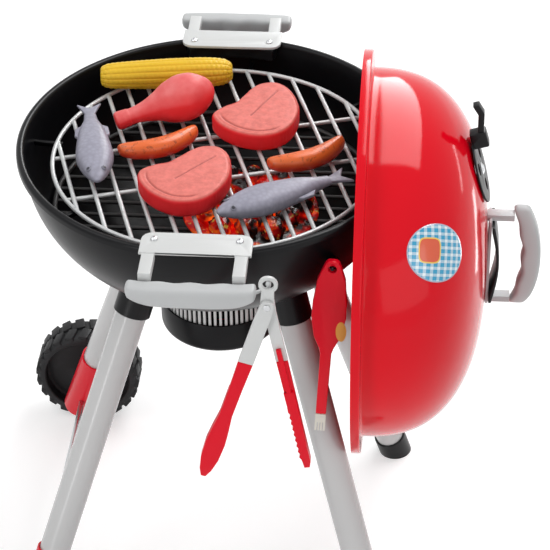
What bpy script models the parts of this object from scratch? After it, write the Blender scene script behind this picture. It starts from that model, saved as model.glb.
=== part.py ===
"""Toy barbecue grill with a hanging lid, play food, tongs and a brush.

Metres, +Z up. Most places are given from the centre of the bowl's rim, at the height of its
top: +X points to the hanging lid and -Y to the near handle, where the tongs hang.
"""
import math

import bmesh
import bpy
from mathutils import Matrix, Vector

# Fits
FIT_GAP = 0.0003
CUT_OVERRUN = 0.002
MERGE_DISTANCE = 0.00001
SMOOTH_ANGLE = 38.0
BEVEL_ANGLE = 50.0

# Steps round turned and round pieces, and points along arcs
BOWL_STEPS = 40
LID_STEPS = 40
GRATE_STEPS = 36
DISH_STEPS = 32
COLLAR_STEPS = 32
WHEEL_STEPS = 22
CASE_STEPS = 20
LEG_STEPS = 14
FOOD_STEPS = 14
CELL_STEPS = 14
PIN_STEPS = 12
AXLE_CAP_STEPS = 10
SCREW_STEPS = 8
LAMP_STEPS = 6
WIRE_SIDES = 6
BAR_SIDES = 4
BOWL_WALL_POINTS = 7
RIM_ROLL_POINTS = 3
LEDGE_POINTS = 6
DISH_POINTS = 3
LID_POINTS = 8
DAMPER_POINTS = 28
VENT_HOLE_POINTS = 10
CORNER_POINTS = 4
SHIELD_POINTS = 8
RING_POINTS = 16
EAR_POINTS = 8
GRIP_STATIONS = 10
GRIP_RING_POINTS = 10
SAUSAGE_STATIONS = 10
FISH_RING_POINTS = 10

# Bowl
RIM_HEIGHT = 0.5015
BOWL_RADIUS = 0.172
BOWL_DEPTH = 0.138
BOWL_POWER = 2.15
BOWL_WALL = 0.002
BOWL_FLOOR_RADIUS = 0.040
LEAD_HOLE_RADIUS = 0.008
RIM_ROLL_RADIUS = 0.0035
RIM_SKIRT = 0.0035
LEDGE_DEPTH = 0.014
LEDGE_HEIGHT = 0.012
LEDGE_HALF_ANGLE = 14.7
PEG_COUNT = 8
PEG_FIRST_ANGLE = 173.5
PEG_WIDTH = 0.004
PEG_HEIGHT = 0.0045

# Side handles
PLATE_HALF_LENGTH = 0.0472
PLATE_OVERHANG = 0.012
PLATE_DEPTH = 0.030
PLATE_OUTER_REACH = BOWL_RADIUS + PLATE_OVERHANG
PLATE_INNER_REACH = PLATE_OUTER_REACH - PLATE_DEPTH
PLATE_THICKNESS = 0.0025
PLATE_CORNER = 0.010
ARM_PLACE = 0.039
ARM_WIDTH = 0.0107
ARM_TOP_SET_BACK = 0.0005
ARM_HEIGHT = 0.0083
ARM_OVERLAP = 0.0035
SCREW_PLACE = 0.036
SCREW_INSET = 0.020
SCREW_REACH = PLATE_OUTER_REACH - SCREW_INSET
SCREW_RADIUS = 0.0015
SCREW_HOLE_RADIUS = 0.0018
SCREW_HOLE_DEPTH = 0.009
SCREW_LENGTH = 0.008
SCREW_HEAD_RADIUS = 0.0032
SCREW_HEAD_HEIGHT = 0.0016
GRIP_LENGTH = 0.1076
GRIP_WIDTH = 0.0185
FINGER_GAP = 0.0285
GRIP_OUTER_REACH = PLATE_OUTER_REACH + FINGER_GAP + GRIP_WIDTH
GRIP_TOP = 0.0023
GRIP_HEIGHT = 0.0183
GRIP_END_HEIGHT = 0.0097
GRIP_BOW = 0.004
GRIP_WAVE = 0.0022
GRIP_BOW_POWER = 4
GRIP_TAPER_POWER = 5
GRIP_SECTION_POWER = 4

# Legs
LEG_RADIUS = 0.0145
LEG_WALL = 0.0015
LEG_REFERENCE_DEPTH = 0.150
LEG_X_SHARE = 0.439
LEG_Y_SHARE = 0.425
LEG_REFERENCE_X = BOWL_RADIUS * LEG_X_SHARE
LEG_REFERENCE_Y = BOWL_RADIUS * LEG_Y_SHARE
LEFT_LEG_SLOPE_SHARES = (-0.330, 0.320)
RIGHT_LEG_SLOPE_SHARES = (0.263, 0.242)
LEG_TOP_DEPTH = 0.128
SOCKET_WALL = 0.0024
SOCKET_MOUTH_DEPTH = 0.147
SOCKET_TOP_DEPTH = 0.100
SLEEVE_WALL = 0.0020
SLEEVE_TOP_DEPTH = 0.378
SLEEVE_END_WALL = 0.003
FOOT_WALL = 0.0018
FOOT_HEIGHT = 0.026
RIGHT_LEG_END_HEIGHT = 0.010

# Wheels
WHEEL_RADIUS = 0.057
WHEEL_WIDTH = 0.035
WHEEL_STAND_OFF = 0.04066
LEG_PAST_AXLE = 0.0215
AXLE_DEPTH = RIM_HEIGHT - WHEEL_RADIUS
LEFT_LEG_END_DEPTH = AXLE_DEPTH + LEG_PAST_AXLE
WHEEL_REACH = LEG_REFERENCE_Y + LEFT_LEG_SLOPE_SHARES[1] * (AXLE_DEPTH - LEG_REFERENCE_DEPTH) + WHEEL_STAND_OFF
WHEEL_WEB = 0.006
WHEEL_RECESS_RADIUS = 0.046
WHEEL_HUB_RADIUS = 0.0105
WHEEL_HUB_INSIDE = 0.020
WHEEL_HUB_OUTSIDE = 0.010
LUG_COUNT = 22
LUG_DEPTH = 0.0028
LUG_SHARE = 0.30
LUG_FLANK_SHARE = 0.10
AXLE_RADIUS = 0.003
AXLE_CLEARANCE = 0.00025
AXLE_CAP_RADIUS = 0.0075
AXLE_CAP_DEPTH = 0.0055
AXLE_CAP_WALL = 0.0015

# Ash dish, collar and light
DISH_RADIUS = 0.0555
DISH_HEIGHT = 0.0301
DISH_CORNER = 0.005
DISH_RIM_DEPTH = 0.1723
DISH_WALL = 0.0015
COLLAR_RADIUS = DISH_RADIUS - FIT_GAP
COLLAR_WALL = 0.0022
COLLAR_TOP_ROOM = 0.008
SLOT_COUNT = 32
SLOT_WIDTH = 0.0055
SLOT_TOP_DEPTH = 0.012
SLOT_HEIGHT = 0.030
CASE_RADIUS = 0.0355
CASE_WALL = 0.0016
CASE_HEIGHT = 0.040
CASE_HOLE_RADIUS = 0.003
COVER_THICKNESS = 0.0022
CRADLE_PLACE = 0.015
CRADLE_THICKNESS = 0.002
CRADLE_HALF_WIDTH = 0.013
SWITCH_BOSS_RADIUS = 0.009
CELL_RADIUS = 0.0071
CELL_LENGTH = 0.049
CELL_PITCH = 0.0152
CELL_DEPTH = 0.165
BUTTON_RADIUS = 0.0056
BUTTON_HOLE_RADIUS = 0.006
BUTTON_FLANGE_RADIUS = 0.0085
BUTTON_FLANGE = 0.0015
BUTTON_PROUD = 0.0045
BUTTON_TRAVEL = 0.0025
BUTTON_NOSE = 0.0007
BOARD_RADIUS = 0.018
BOARD_THICKNESS = 0.0016
BOARD_PIN_RADIUS = 0.0006
BOARD_PIN_PLACE = 0.0015
BOARD_PIN_LENGTH = 0.0032
LAMP_COUNT = 3
LAMP_RADIUS = 0.0025
LAMP_HEIGHT = 0.006
LAMP_PLACE = 0.010

# Grates and coal
COAL_GRATE_ANGLE = 28.8
COAL_WIRE_RADIUS = 0.0025
COAL_SEAT_ROOM = 0.0013
COAL_BAR_RADIUS = 0.0020
COAL_BAR_DROP = 0.0004
COAL_PITCH_SHARE = 0.132
COAL_BARS_EACH_SIDE = 7
GRATE_ROOM = 0.0243
GRATE_RADIUS = BOWL_RADIUS - GRATE_ROOM
GRATE_DEPTH = 0.020
GRATE_WIRE_RADIUS = 0.0020
GRATE_TURN = -72.7
GRATE_PITCH_SHARE = 0.1313
GRATE_BAR_PITCH = GRATE_PITCH_SHARE * GRATE_RADIUS
GRATE_BARS_EACH_SIDE = 7
GRATE_CROSS_PLACE = 0.034
GRATE_CROSS_DROP = 0.0030
TRAY_RADIUS = 0.062
TRAY_THICKNESS = 0.003
TRAY_PLACE = (0.032, -0.020)
LUMP_RADIUS = 0.0105
LUMP_PITCH = 0.0235
LUMP_SINK_SHARE = 0.72
LUMP_ROUGH_SHARE = 0.16
LUMP_WAVES = (7, 5, 4)
LUMP_ROWS_EACH_SIDE = 2

# Lid
LID_RADIUS = 0.171
LID_INSET = 0.0355
LID_HOOK_RISE = 0.049
LID_FRAME = (BOWL_RADIUS - LID_INSET, 0.0, LID_HOOK_RISE - LID_RADIUS)
LID_DEPTH = 0.1118
LID_POWER = 2.61
LID_WALL = 0.0018
LID_FLANGE_RADIUS = 0.187
LID_BAND = 0.0083
HOOK_WIDTH = 0.014
HOOK_THICKNESS = 0.0025
HOOK_INNER_DROP = 0.0066
HOOK_OUTER_DROP = 0.008
HOOK_OUTER_THICKNESS = 0.0034
HOOK_ARM_HEIGHT = 0.006
HOOK_NECK = 0.012
LID_LIFT = (0.342, 0.0, 0.940)
VENT_PLACE = 0.096
VENT_HOLE_RADIUS = 0.006
VENT_HOLE_PLACE = 0.017
VENT_HOLE_COUNT = 3
DAMPER_RADIUS = 0.031
DAMPER_THICKNESS = 0.0016
TAB_RISE = 0.009
TAB_LENGTH = 0.016
TAB_WIDTH = 0.012
TAB_HEIGHT = 0.015
TAB_EDGE = 0.0015
TAB_ARM_LENGTH = 0.027
TAB_ARM_KNEE = 0.017
TAB_ARM_BEND = 0.005
TAB_ARM_WIDTH = 0.008
TAB_ARM_THICKNESS = 0.0055
RIVET_RADIUS = 0.0028
RIVET_HEAD_RADIUS = 0.006
RIVET_HEAD_HEIGHT = 0.0018
RIVET_CURVE_ROOM = 0.0008
LID_GRIP_REACH = 0.1612
LID_GRIP_BOW = 0.009
LID_ARM_PLACE = 0.046
LID_ARM_THICKNESS = 0.006
LID_STRAP_WIDTH = 0.024
LID_STRAP_THICKNESS = 0.0025
SHIELD_HALF_LENGTH = 0.0425
SHIELD_WIDTH = 0.034
SHIELD_THICKNESS = 0.0025
SHIELD_BOW = 0.0055
SHIELD_FOOT = 0.005

# Tongs
PEG_SLOPE = 25.0
HOOK_WIRE_RADIUS = 0.0016
TONGS_HOOK_LEAD = 0.0102
TONGS_GRIP_INSET = 0.0085
TONGS_RING_RISE = 0.003
TONGS_RING = (GRIP_LENGTH / 2 + TONGS_HOOK_LEAD, TONGS_GRIP_INSET - GRIP_OUTER_REACH, TONGS_RING_RISE)
TONGS_TILT = 3.4
RING_RADIUS = 0.008
RING_HOLE_RADIUS = 0.0048
YOKE_THICKNESS = 0.003
PIVOT_DROP = 0.020
YOKE_NECK_ANGLE = 50.0
EAR_RADIUS = 0.0058
PIN_RADIUS = 0.0015
PIN_HOLE_RADIUS = 0.00185
PIN_HEAD_RADIUS = 0.003
PIN_HEAD = 0.0008
TONGS_OPENING = 13.9
ARM_LAYER = 0.0035
LEFT_ARM_HALF_WIDTH = 0.0065
RIGHT_ARM_HALF_WIDTH = 0.0050
ARM_END = 0.062
TONGUE_START = 0.048
TONGUE_END = 0.100
TONGUE_HALF_WIDTH = 0.002
DEEP_START = 0.094
LEFT_TIP_END = 0.195
LEFT_TIP_HALF_WIDTH = 0.0085
RIGHT_TIP_END = 0.178
RIGHT_TIP_HALF_WIDTH = 0.0047
TOOTH_START = 0.115
TOOTH_END = 0.172
TOOTH_COUNT = 9
TOOTH_DEPTH = 0.0016

# Brush
BRUSH_X_SHARE = 0.657
BRUSH_Y_SHARE = -0.884
BRUSH_DROP = 0.030
BRUSH_HOLE = (BOWL_RADIUS * BRUSH_X_SHARE, BOWL_RADIUS * BRUSH_Y_SHARE, -BRUSH_DROP)
BRUSH_TILT = 3.5
BRUSH_THICKNESS = 0.006
BRUSH_LENGTH = 0.168
BRUSH_HALF_WIDTH = 0.0155
BRUSH_HOLE_RADIUS = 0.0036
BRUSH_HOLE_PLACE = 0.008
BRUSH_TIP_LENGTH = 0.019
BRUSH_TIP_WIDTH = 0.0095
BRUSH_TIP_SLOTS = 3
BRUSH_TIP_SLOT = 0.0008
BRUSH_STEM_RADIUS = 0.0014
BRUSH_STEM_LENGTH = 0.006
HOOK_PAD_RADIUS = 0.005
HOOK_PAD_LENGTH = 0.012

# Play food
CORN_HALF_LENGTH = 0.062
CORN_RADIUS = 0.0145
DRUMSTICK_LENGTH = 0.096
DRUMSTICK_RADIUS = 0.0225
DRUMSTICK_TILT = 10.8
STEAK_HALF_LENGTH = 0.049
STEAK_HALF_WIDTH = 0.041
STEAK_THICKNESS = 0.020
STEAK_EDGE = 0.005
SAUSAGE_RADIUS = 0.0095
SAUSAGE_HALF_LENGTH = 0.0385
SAUSAGE_SAGITTA = 0.012
SAUSAGE_END_POWER = 0.45
SAUSAGE_END_SHARE = 0.3
FISH_LENGTH = 0.130
FISH_HALF_WIDTH = 0.0168
FISH_HALF_HEIGHT = 0.011
FISH_FIN_THICKNESS = 0.003
FISH_SECTION_POWER = 2.3
LEFT_FISH_SINK = 0.0010

# Half-widths and outlines as shares of the sizes above, chosen by hand
CORN_SHARES = ((-1.0, 0.45), (-0.96, 0.68), (-0.82, 0.84), (-0.4, 0.94), (0.1, 1.0), (0.55, 0.99),
               (0.84, 0.88), (0.96, 0.66), (1.0, 0.42))
DRUMSTICK_SHARES = ((0.0, 0.30), (0.03, 0.40), (0.12, 0.40), (0.16, 0.37), (0.29, 0.44), (0.42, 0.62),
                    (0.54, 0.87), (0.69, 1.0), (0.83, 0.89), (0.94, 0.56), (0.985, 0.28))
DRUMSTICK_BODY_SHARE = 0.69
DRUMSTICK_SETTLE_SHARE = 0.985
STEAK_SHARES = ((0.47, -0.83), (0.18, -0.71), (-0.04, -0.54), (-0.31, -0.49), (-0.63, -0.44),
                (-0.86, -0.32), (-1.0, -0.05), (-0.92, 0.29), (-0.65, 0.63), (-0.27, 0.90),
                (0.22, 1.0), (0.59, 0.88), (0.84, 0.54), (0.90, 0.10), (0.84, -0.29), (0.69, -0.63))
FISH_BODY_SHARES = ((-0.34, 0.34, 0.30), (-0.25, 0.42, 0.50), (-0.12, 0.72, 0.80), (0.08, 0.95, 1.0),
                    (0.22, 1.0, 0.97), (0.35, 0.76, 0.78), (0.44, 0.44, 0.46), (0.495, 0.16, 0.18))
FISH_FIN_SHARES = ((-0.49, 0.68), (-0.42, 0.45), (-0.33, 0.20), (-0.22, 0.34), (-0.17, 0.90),
                   (-0.08, 0.95), (-0.02, 0.60), (0.30, 0.60))
FISH_NOTCH_SHARE = -0.43
BRUSH_SHARES = ((0.0, 0.22), (0.011, 0.36), (0.046, 0.52), (0.12, 0.78), (0.27, 0.95), (0.36, 0.97),
                (0.48, 0.76), (0.555, 0.42), (0.59, 0.32), (1.0, 0.30))
LEFT_TIP_SHARES = ((0.0, 0.74), (0.22, 0.66), (0.45, 0.64), (0.58, 0.86), (0.70, 1.0), (0.84, 0.92),
                   (0.94, 0.62), (1.0, 0.24))
RIGHT_TIP_SHARES = ((0.0, 1.0), (0.40, 0.92), (0.95, 0.88), (1.0, 0.50))

# Places of the food on the cooking grate, as shares of its radius, and turns in degrees
CORN_PLACE_SHARE = (-0.386, 0.752)
CORN_TURN = 7.2
DRUMSTICK_PLACE_SHARE = (-0.237, 0.386)
DRUMSTICK_TURN = 22.4
RIGHT_STEAK_PLACE_SHARE = (0.223, 0.332)
RIGHT_STEAK_TURN = -108.8
LEFT_STEAK_PLACE_SHARE = (-0.142, -0.393)
LEFT_STEAK_TURN = -123.8
LEFT_SAUSAGE_PLACE_SHARE = (-0.339, -0.007)
LEFT_SAUSAGE_TURN = 29.9
RIGHT_SAUSAGE_PLACE_SHARE = (0.575, -0.088)
RIGHT_SAUSAGE_TURN = 33.4
LEFT_FISH_PLACE_SHARE = (-0.752, -0.020)
LEFT_FISH_TURN = -78.4
RIGHT_FISH_PLACE_SHARE = (0.452, -0.522)
RIGHT_FISH_TURN = 210.7

# Finishes: colour, roughness, metallic
BLACK_PLASTIC = ((0.020, 0.021, 0.023), 0.38, 0.0)
GREY_PLASTIC = ((0.60, 0.61, 0.62), 0.42, 0.0)
WHITE_PLASTIC = ((0.80, 0.80, 0.79), 0.40, 0.0)
GRIP_PLASTIC = ((0.26, 0.27, 0.28), 0.50, 0.0)
RED_PLASTIC = ((0.62, 0.012, 0.016), 0.22, 0.0)
DARK_GREY_PLASTIC = ((0.07, 0.07, 0.072), 0.50, 0.0)
STEEL = ((0.56, 0.57, 0.58), 0.30, 1.0)
GREEN_BOARD = ((0.03, 0.20, 0.07), 0.50, 0.0)
CELL_FINISH = ((0.10, 0.11, 0.13), 0.35, 0.6)
GLOW_FINISH = ((0.80, 0.10, 0.03), 0.30, 0.0)
CORN_FINISH = ((0.90, 0.62, 0.06), 0.40, 0.0)
DRUMSTICK_FINISH = ((0.72, 0.25, 0.14), 0.45, 0.0)
STEAK_FINISH = ((0.72, 0.30, 0.28), 0.45, 0.0)
SAUSAGE_FINISH = ((0.55, 0.20, 0.06), 0.40, 0.0)
FISH_FINISH = ((0.42, 0.40, 0.46), 0.40, 0.0)
TIP_FINISH = ((0.78, 0.76, 0.66), 0.35, 0.0)

PARTS = "toy_barbecue_grill"
TOOLS = "cutters_and_joined_shapes"


def clear_scene():
    """Removes every object that stands in the scene, and the collections of an earlier run."""
    for obj in list(bpy.data.objects):
        bpy.data.objects.remove(obj, do_unlink=True)
    for name in (PARTS, TOOLS):
        if name in bpy.data.collections:
            bpy.data.collections.remove(bpy.data.collections[name])
        bpy.context.scene.collection.children.link(bpy.data.collections.new(name))


def frame(name, parent=None, location=(0, 0, 0), rotation=(0, 0, 0)):
    """An empty that carries pieces. Its turns are in degrees about X, Y and Z."""
    empty = bpy.data.objects.new(name, None)
    empty.parent = parent
    empty.location = location
    empty.rotation_euler = [math.radians(angle) for angle in rotation]
    bpy.data.collections[PARTS].objects.link(empty)
    return empty


def aimed_frame(name, parent, location, direction):
    """An empty whose Z axis lies along a direction."""
    empty = frame(name, parent, location)
    empty.rotation_mode = 'QUATERNION'
    empty.rotation_quaternion = Vector(direction).to_track_quat('Z', 'Y')
    return empty


def add(name, data, parent, location=(0, 0, 0), rotation=(0, 0, 0), tool=False):
    """A piece, or a tool that cuts or joins one."""
    obj = bpy.data.objects.new(name, data)
    obj.parent = parent
    obj.location = location
    obj.rotation_euler = [math.radians(angle) for angle in rotation]
    bpy.data.collections[TOOLS if tool else PARTS].objects.link(obj)
    if tool:
        obj.hide_render = True
        obj.display_type = 'WIRE'
    return obj


def mesh_from(name, bm):
    """Makes a mesh of a bmesh and frees it."""
    mesh = bpy.data.meshes.new(name)
    bm.to_mesh(mesh)
    bm.free()
    return mesh


def evaluated_mesh(obj):
    """The mesh of an object with its modifiers."""
    bpy.context.view_layer.update()
    graph = bpy.context.evaluated_depsgraph_get()
    return bpy.data.meshes.new_from_object(obj.evaluated_get(graph), depsgraph=graph)


def mesh_of_curve(name, curve):
    """Makes a closed mesh of a curve, with its caps welded on."""
    carrier = bpy.data.objects.new(name, curve)
    bpy.context.scene.collection.objects.link(carrier)
    mesh = evaluated_mesh(carrier)
    bpy.data.objects.remove(carrier, do_unlink=True)
    bpy.data.curves.remove(curve)
    bm = bmesh.new()
    bm.from_mesh(mesh)
    bmesh.ops.remove_doubles(bm, verts=bm.verts, dist=MERGE_DISTANCE)
    bmesh.ops.recalc_face_normals(bm, faces=bm.faces)
    bm.to_mesh(mesh)
    bm.free()
    mesh.name = name
    return mesh


def arc(centre, radius, start, end, count):
    """Points on an arc, its angles in degrees, with both ends."""
    angles = [math.radians(start + (end - start) * step / count) for step in range(count + 1)]
    return [(centre[0] + radius * math.cos(a), centre[1] + radius * math.sin(a)) for a in angles]


def circle(centre, radius, count):
    """Points round a circle."""
    return arc(centre, radius, 0, 360, count)[:-1]


def quarter(radius, depth, power, start, end, count):
    """Points of a superellipse's quarter, from a start angle to an end angle in radians."""
    points = []
    for step in range(count + 1):
        a = start + (end - start) * step / count
        points.append((radius * math.cos(a) ** (2 / power), -depth * math.sin(a) ** (2 / power)))
    return points


def angle_at_radius(share, power):
    """The superellipse's angle where its radius has fallen to a share."""
    return math.acos(share ** (power / 2))


def angle_at_depth(share, power):
    """The superellipse's angle where its depth has reached a share."""
    return math.asin(share ** (power / 2))


def offset(points, distance):
    """Moves an open outline to its right-hand side, and keeps its sides parallel."""
    moved = []
    for index, point in enumerate(points):
        before = Vector(point) - Vector(points[max(index - 1, 0)])
        after = Vector(points[min(index + 1, len(points) - 1)]) - Vector(point)
        before = before.normalized() if before.length else after.normalized()
        after = after.normalized() if after.length else before
        normal = Vector((before.y + after.y, -before.x - after.x)).normalized()
        side = Vector((before.y, -before.x))
        step = normal * (distance / normal.dot(side))
        moved.append((point[0] + step.x, point[1] + step.y))
    return moved


def solid_profile(radius, top, bottom):
    """The profile of a plain round piece, down its outer side."""
    return [(0, top), (radius, top), (radius, bottom), (0, bottom)]


def turned(name, profile, steps, parent, location=(0, 0, 0), rotation=(0, 0, 0), ring=False,
           wall=0.0, tool=False):
    """A profile of (radius, height) points turned about Z, with a wall if it is a shell."""
    bm = bmesh.new()
    verts = [bm.verts.new((radius, 0, height)) for radius, height in profile]
    for first, second in zip(verts, verts[1:]):
        bm.edges.new((first, second))
    if ring:
        bm.edges.new((verts[-1], verts[0]))
    obj = add(name, mesh_from(name, bm), parent, location, rotation, tool)
    screw = obj.modifiers.new("turn", 'SCREW')
    screw.axis = 'Z'
    screw.angle = math.tau
    screw.steps = steps
    screw.render_steps = steps
    screw.use_merge_vertices = True
    screw.merge_threshold = MERGE_DISTANCE
    if wall:
        shell = obj.modifiers.new("wall", 'SOLIDIFY')
        shell.thickness = wall
        shell.offset = -1
        shell.use_even_offset = True
    return obj


def placed(centre, size, turn=0.0):
    """Places a unit cube: its size and centre, then a turn about the frame's Z axis."""
    scale = Matrix.Diagonal((size[0], size[1], size[2], 1))
    return Matrix.Rotation(math.radians(turn), 4, 'Z') @ Matrix.Translation(centre) @ scale


def boxes(name, places, parent, location=(0, 0, 0), rotation=(0, 0, 0), edge=0.0, tool=False):
    """Boxes in one object, each placed by a matrix on a unit cube."""
    bm = bmesh.new()
    for matrix in places:
        bmesh.ops.create_cube(bm, size=1, matrix=matrix)
    obj = add(name, mesh_from(name, bm), parent, location, rotation, tool)
    if edge:
        bevel(obj, edge)
    return obj


def bevel(obj, width, segments=2):
    """Rounds the sharp edges of an object."""
    rounding = obj.modifiers.new("rounded_edges", 'BEVEL')
    rounding.width = width
    rounding.segments = segments
    rounding.limit_method = 'ANGLE'
    rounding.angle_limit = math.radians(BEVEL_ANGLE)
    rounding.use_clamp_overlap = True
    return obj


def rods(name, ends, radius, parent, sides=12, location=(0, 0, 0), rotation=(0, 0, 0), tool=False):
    """Round bars in one object, each between two points."""
    bm = bmesh.new()
    for start, end in ends:
        start, end = Vector(start), Vector(end)
        aim = (end - start).to_track_quat('Z', 'Y').to_matrix().to_4x4()
        matrix = Matrix.Translation((start + end) / 2) @ aim
        bmesh.ops.create_cone(bm, cap_ends=True, segments=sides, radius1=radius, radius2=radius,
                              depth=(end - start).length, matrix=matrix)
    return add(name, mesh_from(name, bm), parent, location, rotation, tool)


def plate(name, outlines, thickness, parent, location=(0, 0, 0), rotation=(0, 0, 0), tool=False):
    """A flat piece, centred on its plane. The outlines after the first are its holes."""
    curve = bpy.data.curves.new(name, 'CURVE')
    curve.dimensions = '2D'
    curve.fill_mode = 'BOTH'
    curve.extrude = thickness / 2
    for outline in outlines:
        spline = curve.splines.new('POLY')
        spline.points.add(len(outline) - 1)
        for point, (x, y) in zip(spline.points, outline):
            point.co = (x, y, 0, 1)
        spline.use_cyclic_u = True
    return add(name, mesh_of_curve(name, curve), parent, location, rotation, tool)


def tube(name, points, radius, parent, shares=None, resolution=2, location=(0, 0, 0),
         rotation=(0, 0, 0), tool=False):
    """A wire or a bent round piece. The shares thin it along its length."""
    curve = bpy.data.curves.new(name, 'CURVE')
    curve.dimensions = '3D'
    curve.bevel_depth = radius
    curve.bevel_resolution = resolution
    curve.use_fill_caps = True
    spline = curve.splines.new('POLY')
    spline.points.add(len(points) - 1)
    for index, point in enumerate(points):
        spline.points[index].co = (*point, 1)
        spline.points[index].radius = shares[index] if shares else 1
    return add(name, mesh_of_curve(name, curve), parent, location, rotation, tool)


def loft(name, rings, parent, location=(0, 0, 0), rotation=(0, 0, 0), tool=False):
    """A closed body bridged through rings of equal counts of points."""
    bm = bmesh.new()
    loops = []
    for ring in rings:
        verts = [bm.verts.new(point) for point in ring]
        loops.append([bm.edges.new((verts[k - 1], verts[k])) for k in range(len(verts))])
    for lower, upper in zip(loops, loops[1:]):
        bmesh.ops.bridge_loops(bm, edges=lower + upper)
    for loop in (loops[0], loops[-1]):
        bmesh.ops.edgeloop_fill(bm, edges=loop)
    bmesh.ops.recalc_face_normals(bm, faces=bm.faces)
    return add(name, mesh_from(name, bm), parent, location, rotation, tool)


def rounded_section(half_width, half_height, power, count):
    """Points of a section between an ellipse (power 2) and a rectangle."""
    points = []
    for step in range(count):
        a = math.tau * (step + 0.5) / count
        c, s = math.cos(a), math.sin(a)
        points.append((half_width * math.copysign(abs(c) ** (2 / power), c),
                       half_height * math.copysign(abs(s) ** (2 / power), s)))
    return points


def combine(obj, tool, operation, solver='EXACT'):
    """Cuts a tool from a piece, joins it on, or keeps what both share."""
    boolean = obj.modifiers.new(tool.name, 'BOOLEAN')
    boolean.operation = operation
    boolean.object = tool
    boolean.solver = solver


def cut(obj, *tools):
    """Cuts each tool from a piece."""
    for tool in tools:
        combine(obj, tool, 'DIFFERENCE')


def join(obj, *tools):
    """Joins each tool to a piece as one body."""
    for tool in tools:
        combine(obj, tool, 'UNION')


def finish(obj, look):
    """Settles a piece's modifiers into its mesh, shades it and gives it its material."""
    colour, roughness, metallic = look
    if obj.modifiers:
        mesh = evaluated_mesh(obj)
        obj.modifiers.clear()
        obj.data = mesh
    obj.data.name = obj.name
    obj.data.shade_smooth()
    obj.data.set_sharp_from_angle(angle=math.radians(SMOOTH_ANGLE))
    material = bpy.data.materials.new(obj.name + "_finish")
    material.use_nodes = True
    shader = material.node_tree.nodes["Principled BSDF"]
    shader.inputs["Base Color"].default_value = (*colour, 1)
    shader.inputs["Roughness"].default_value = roughness
    shader.inputs["Metallic"].default_value = metallic
    obj.data.materials.clear()
    obj.data.materials.append(material)
    return obj


def bowl_wall():
    """The bowl's inner wall, from the edge of its floor up to the rim's roll."""
    low = angle_at_radius(BOWL_FLOOR_RADIUS / BOWL_RADIUS, BOWL_POWER)
    high = angle_at_depth(RIM_ROLL_RADIUS / BOWL_DEPTH, BOWL_POWER)
    return quarter(BOWL_RADIUS, BOWL_DEPTH, BOWL_POWER, low, high, BOWL_WALL_POINTS)


def bowl_floor():
    """The height of the bowl's inner floor."""
    return bowl_wall()[0][1]


def wall_reach(depth):
    """The bowl's inner radius at a depth under its rim."""
    return BOWL_RADIUS * (1 - (depth / BOWL_DEPTH) ** BOWL_POWER) ** (1 / BOWL_POWER)


def rim_edge():
    """The bowl's outermost radius, at its rolled rim."""
    return BOWL_RADIUS + 2 * RIM_ROLL_RADIUS


def make_bowl_cutter(rim):
    """All that lies inside the bowl's outer skin, and the fit's gap beyond it."""
    floor = [(0, bowl_floor())]
    skin = offset(floor + bowl_wall(), BOWL_WALL + FIT_GAP)
    top = skin[-1][1]
    profile = [(0, top)] + skin[:0:-1] + [(0, skin[0][1])]
    return turned("bowl_outline_cutter", profile, BOWL_STEPS, rim, tool=True)


def handle_frames(rim):
    """Frames of the near and the far handle. Each handle lies along its frame's -Y."""
    return {"near": frame("near_handle", rim), "far": frame("far_handle", rim, rotation=(0, 0, 180))}


def make_bowl(rim, handles):
    """The bowl, with its rolled rim, its two ledges and the cooking grate's pegs."""
    roll_centre = (BOWL_RADIUS + RIM_ROLL_RADIUS, -RIM_ROLL_RADIUS)
    roll = arc(roll_centre, RIM_ROLL_RADIUS, 180, 0, RIM_ROLL_POINTS)
    skirt = (rim_edge(), -RIM_ROLL_RADIUS - RIM_SKIRT)
    profile = [(LEAD_HOLE_RADIUS, bowl_floor())] + bowl_wall()[:-1] + roll + [skirt]
    bowl = turned("bowl", profile, BOWL_STEPS, rim, wall=BOWL_WALL)
    for side, handle in handles.items():
        middle = 270
        outer = arc((0, 0), BOWL_RADIUS + BOWL_WALL / 2, middle - LEDGE_HALF_ANGLE,
                    middle + LEDGE_HALF_ANGLE, LEDGE_POINTS)
        inner = arc((0, 0), BOWL_RADIUS - LEDGE_DEPTH, middle + LEDGE_HALF_ANGLE,
                    middle - LEDGE_HALF_ANGLE, LEDGE_POINTS)
        ledge = plate(side + "_ledge", [outer + inner], LEDGE_HEIGHT, handle,
                      (0, 0, -LEDGE_HEIGHT / 2), tool=True)
        join(bowl, ledge)
    pegs = []
    for index in range(PEG_COUNT):
        start = GRATE_RADIUS - 2 * GRATE_WIRE_RADIUS
        end = wall_reach(PEG_HEIGHT - grate_peg_top()) + BOWL_WALL / 2
        centre = ((start + end) / 2, 0, grate_peg_top() - PEG_HEIGHT / 2)
        turn = PEG_FIRST_ANGLE + index * 360 / PEG_COUNT
        pegs.append(placed(centre, (end - start, PEG_WIDTH, PEG_HEIGHT), turn))
    join(bowl, boxes("grate_pegs", pegs, rim, tool=True))
    join_brush_hook(bowl, rim)
    for side, handle in handles.items():
        holes = [((x, -SCREW_REACH, -SCREW_HOLE_DEPTH), (x, -SCREW_REACH, CUT_OVERRUN))
                 for x in (-SCREW_PLACE, SCREW_PLACE)]
        cut(bowl, rods(side + "_screw_holes", holes, SCREW_HOLE_RADIUS, handle, SCREW_STEPS,
                        tool=True))
    return finish(bowl, BLACK_PLASTIC)


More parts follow.
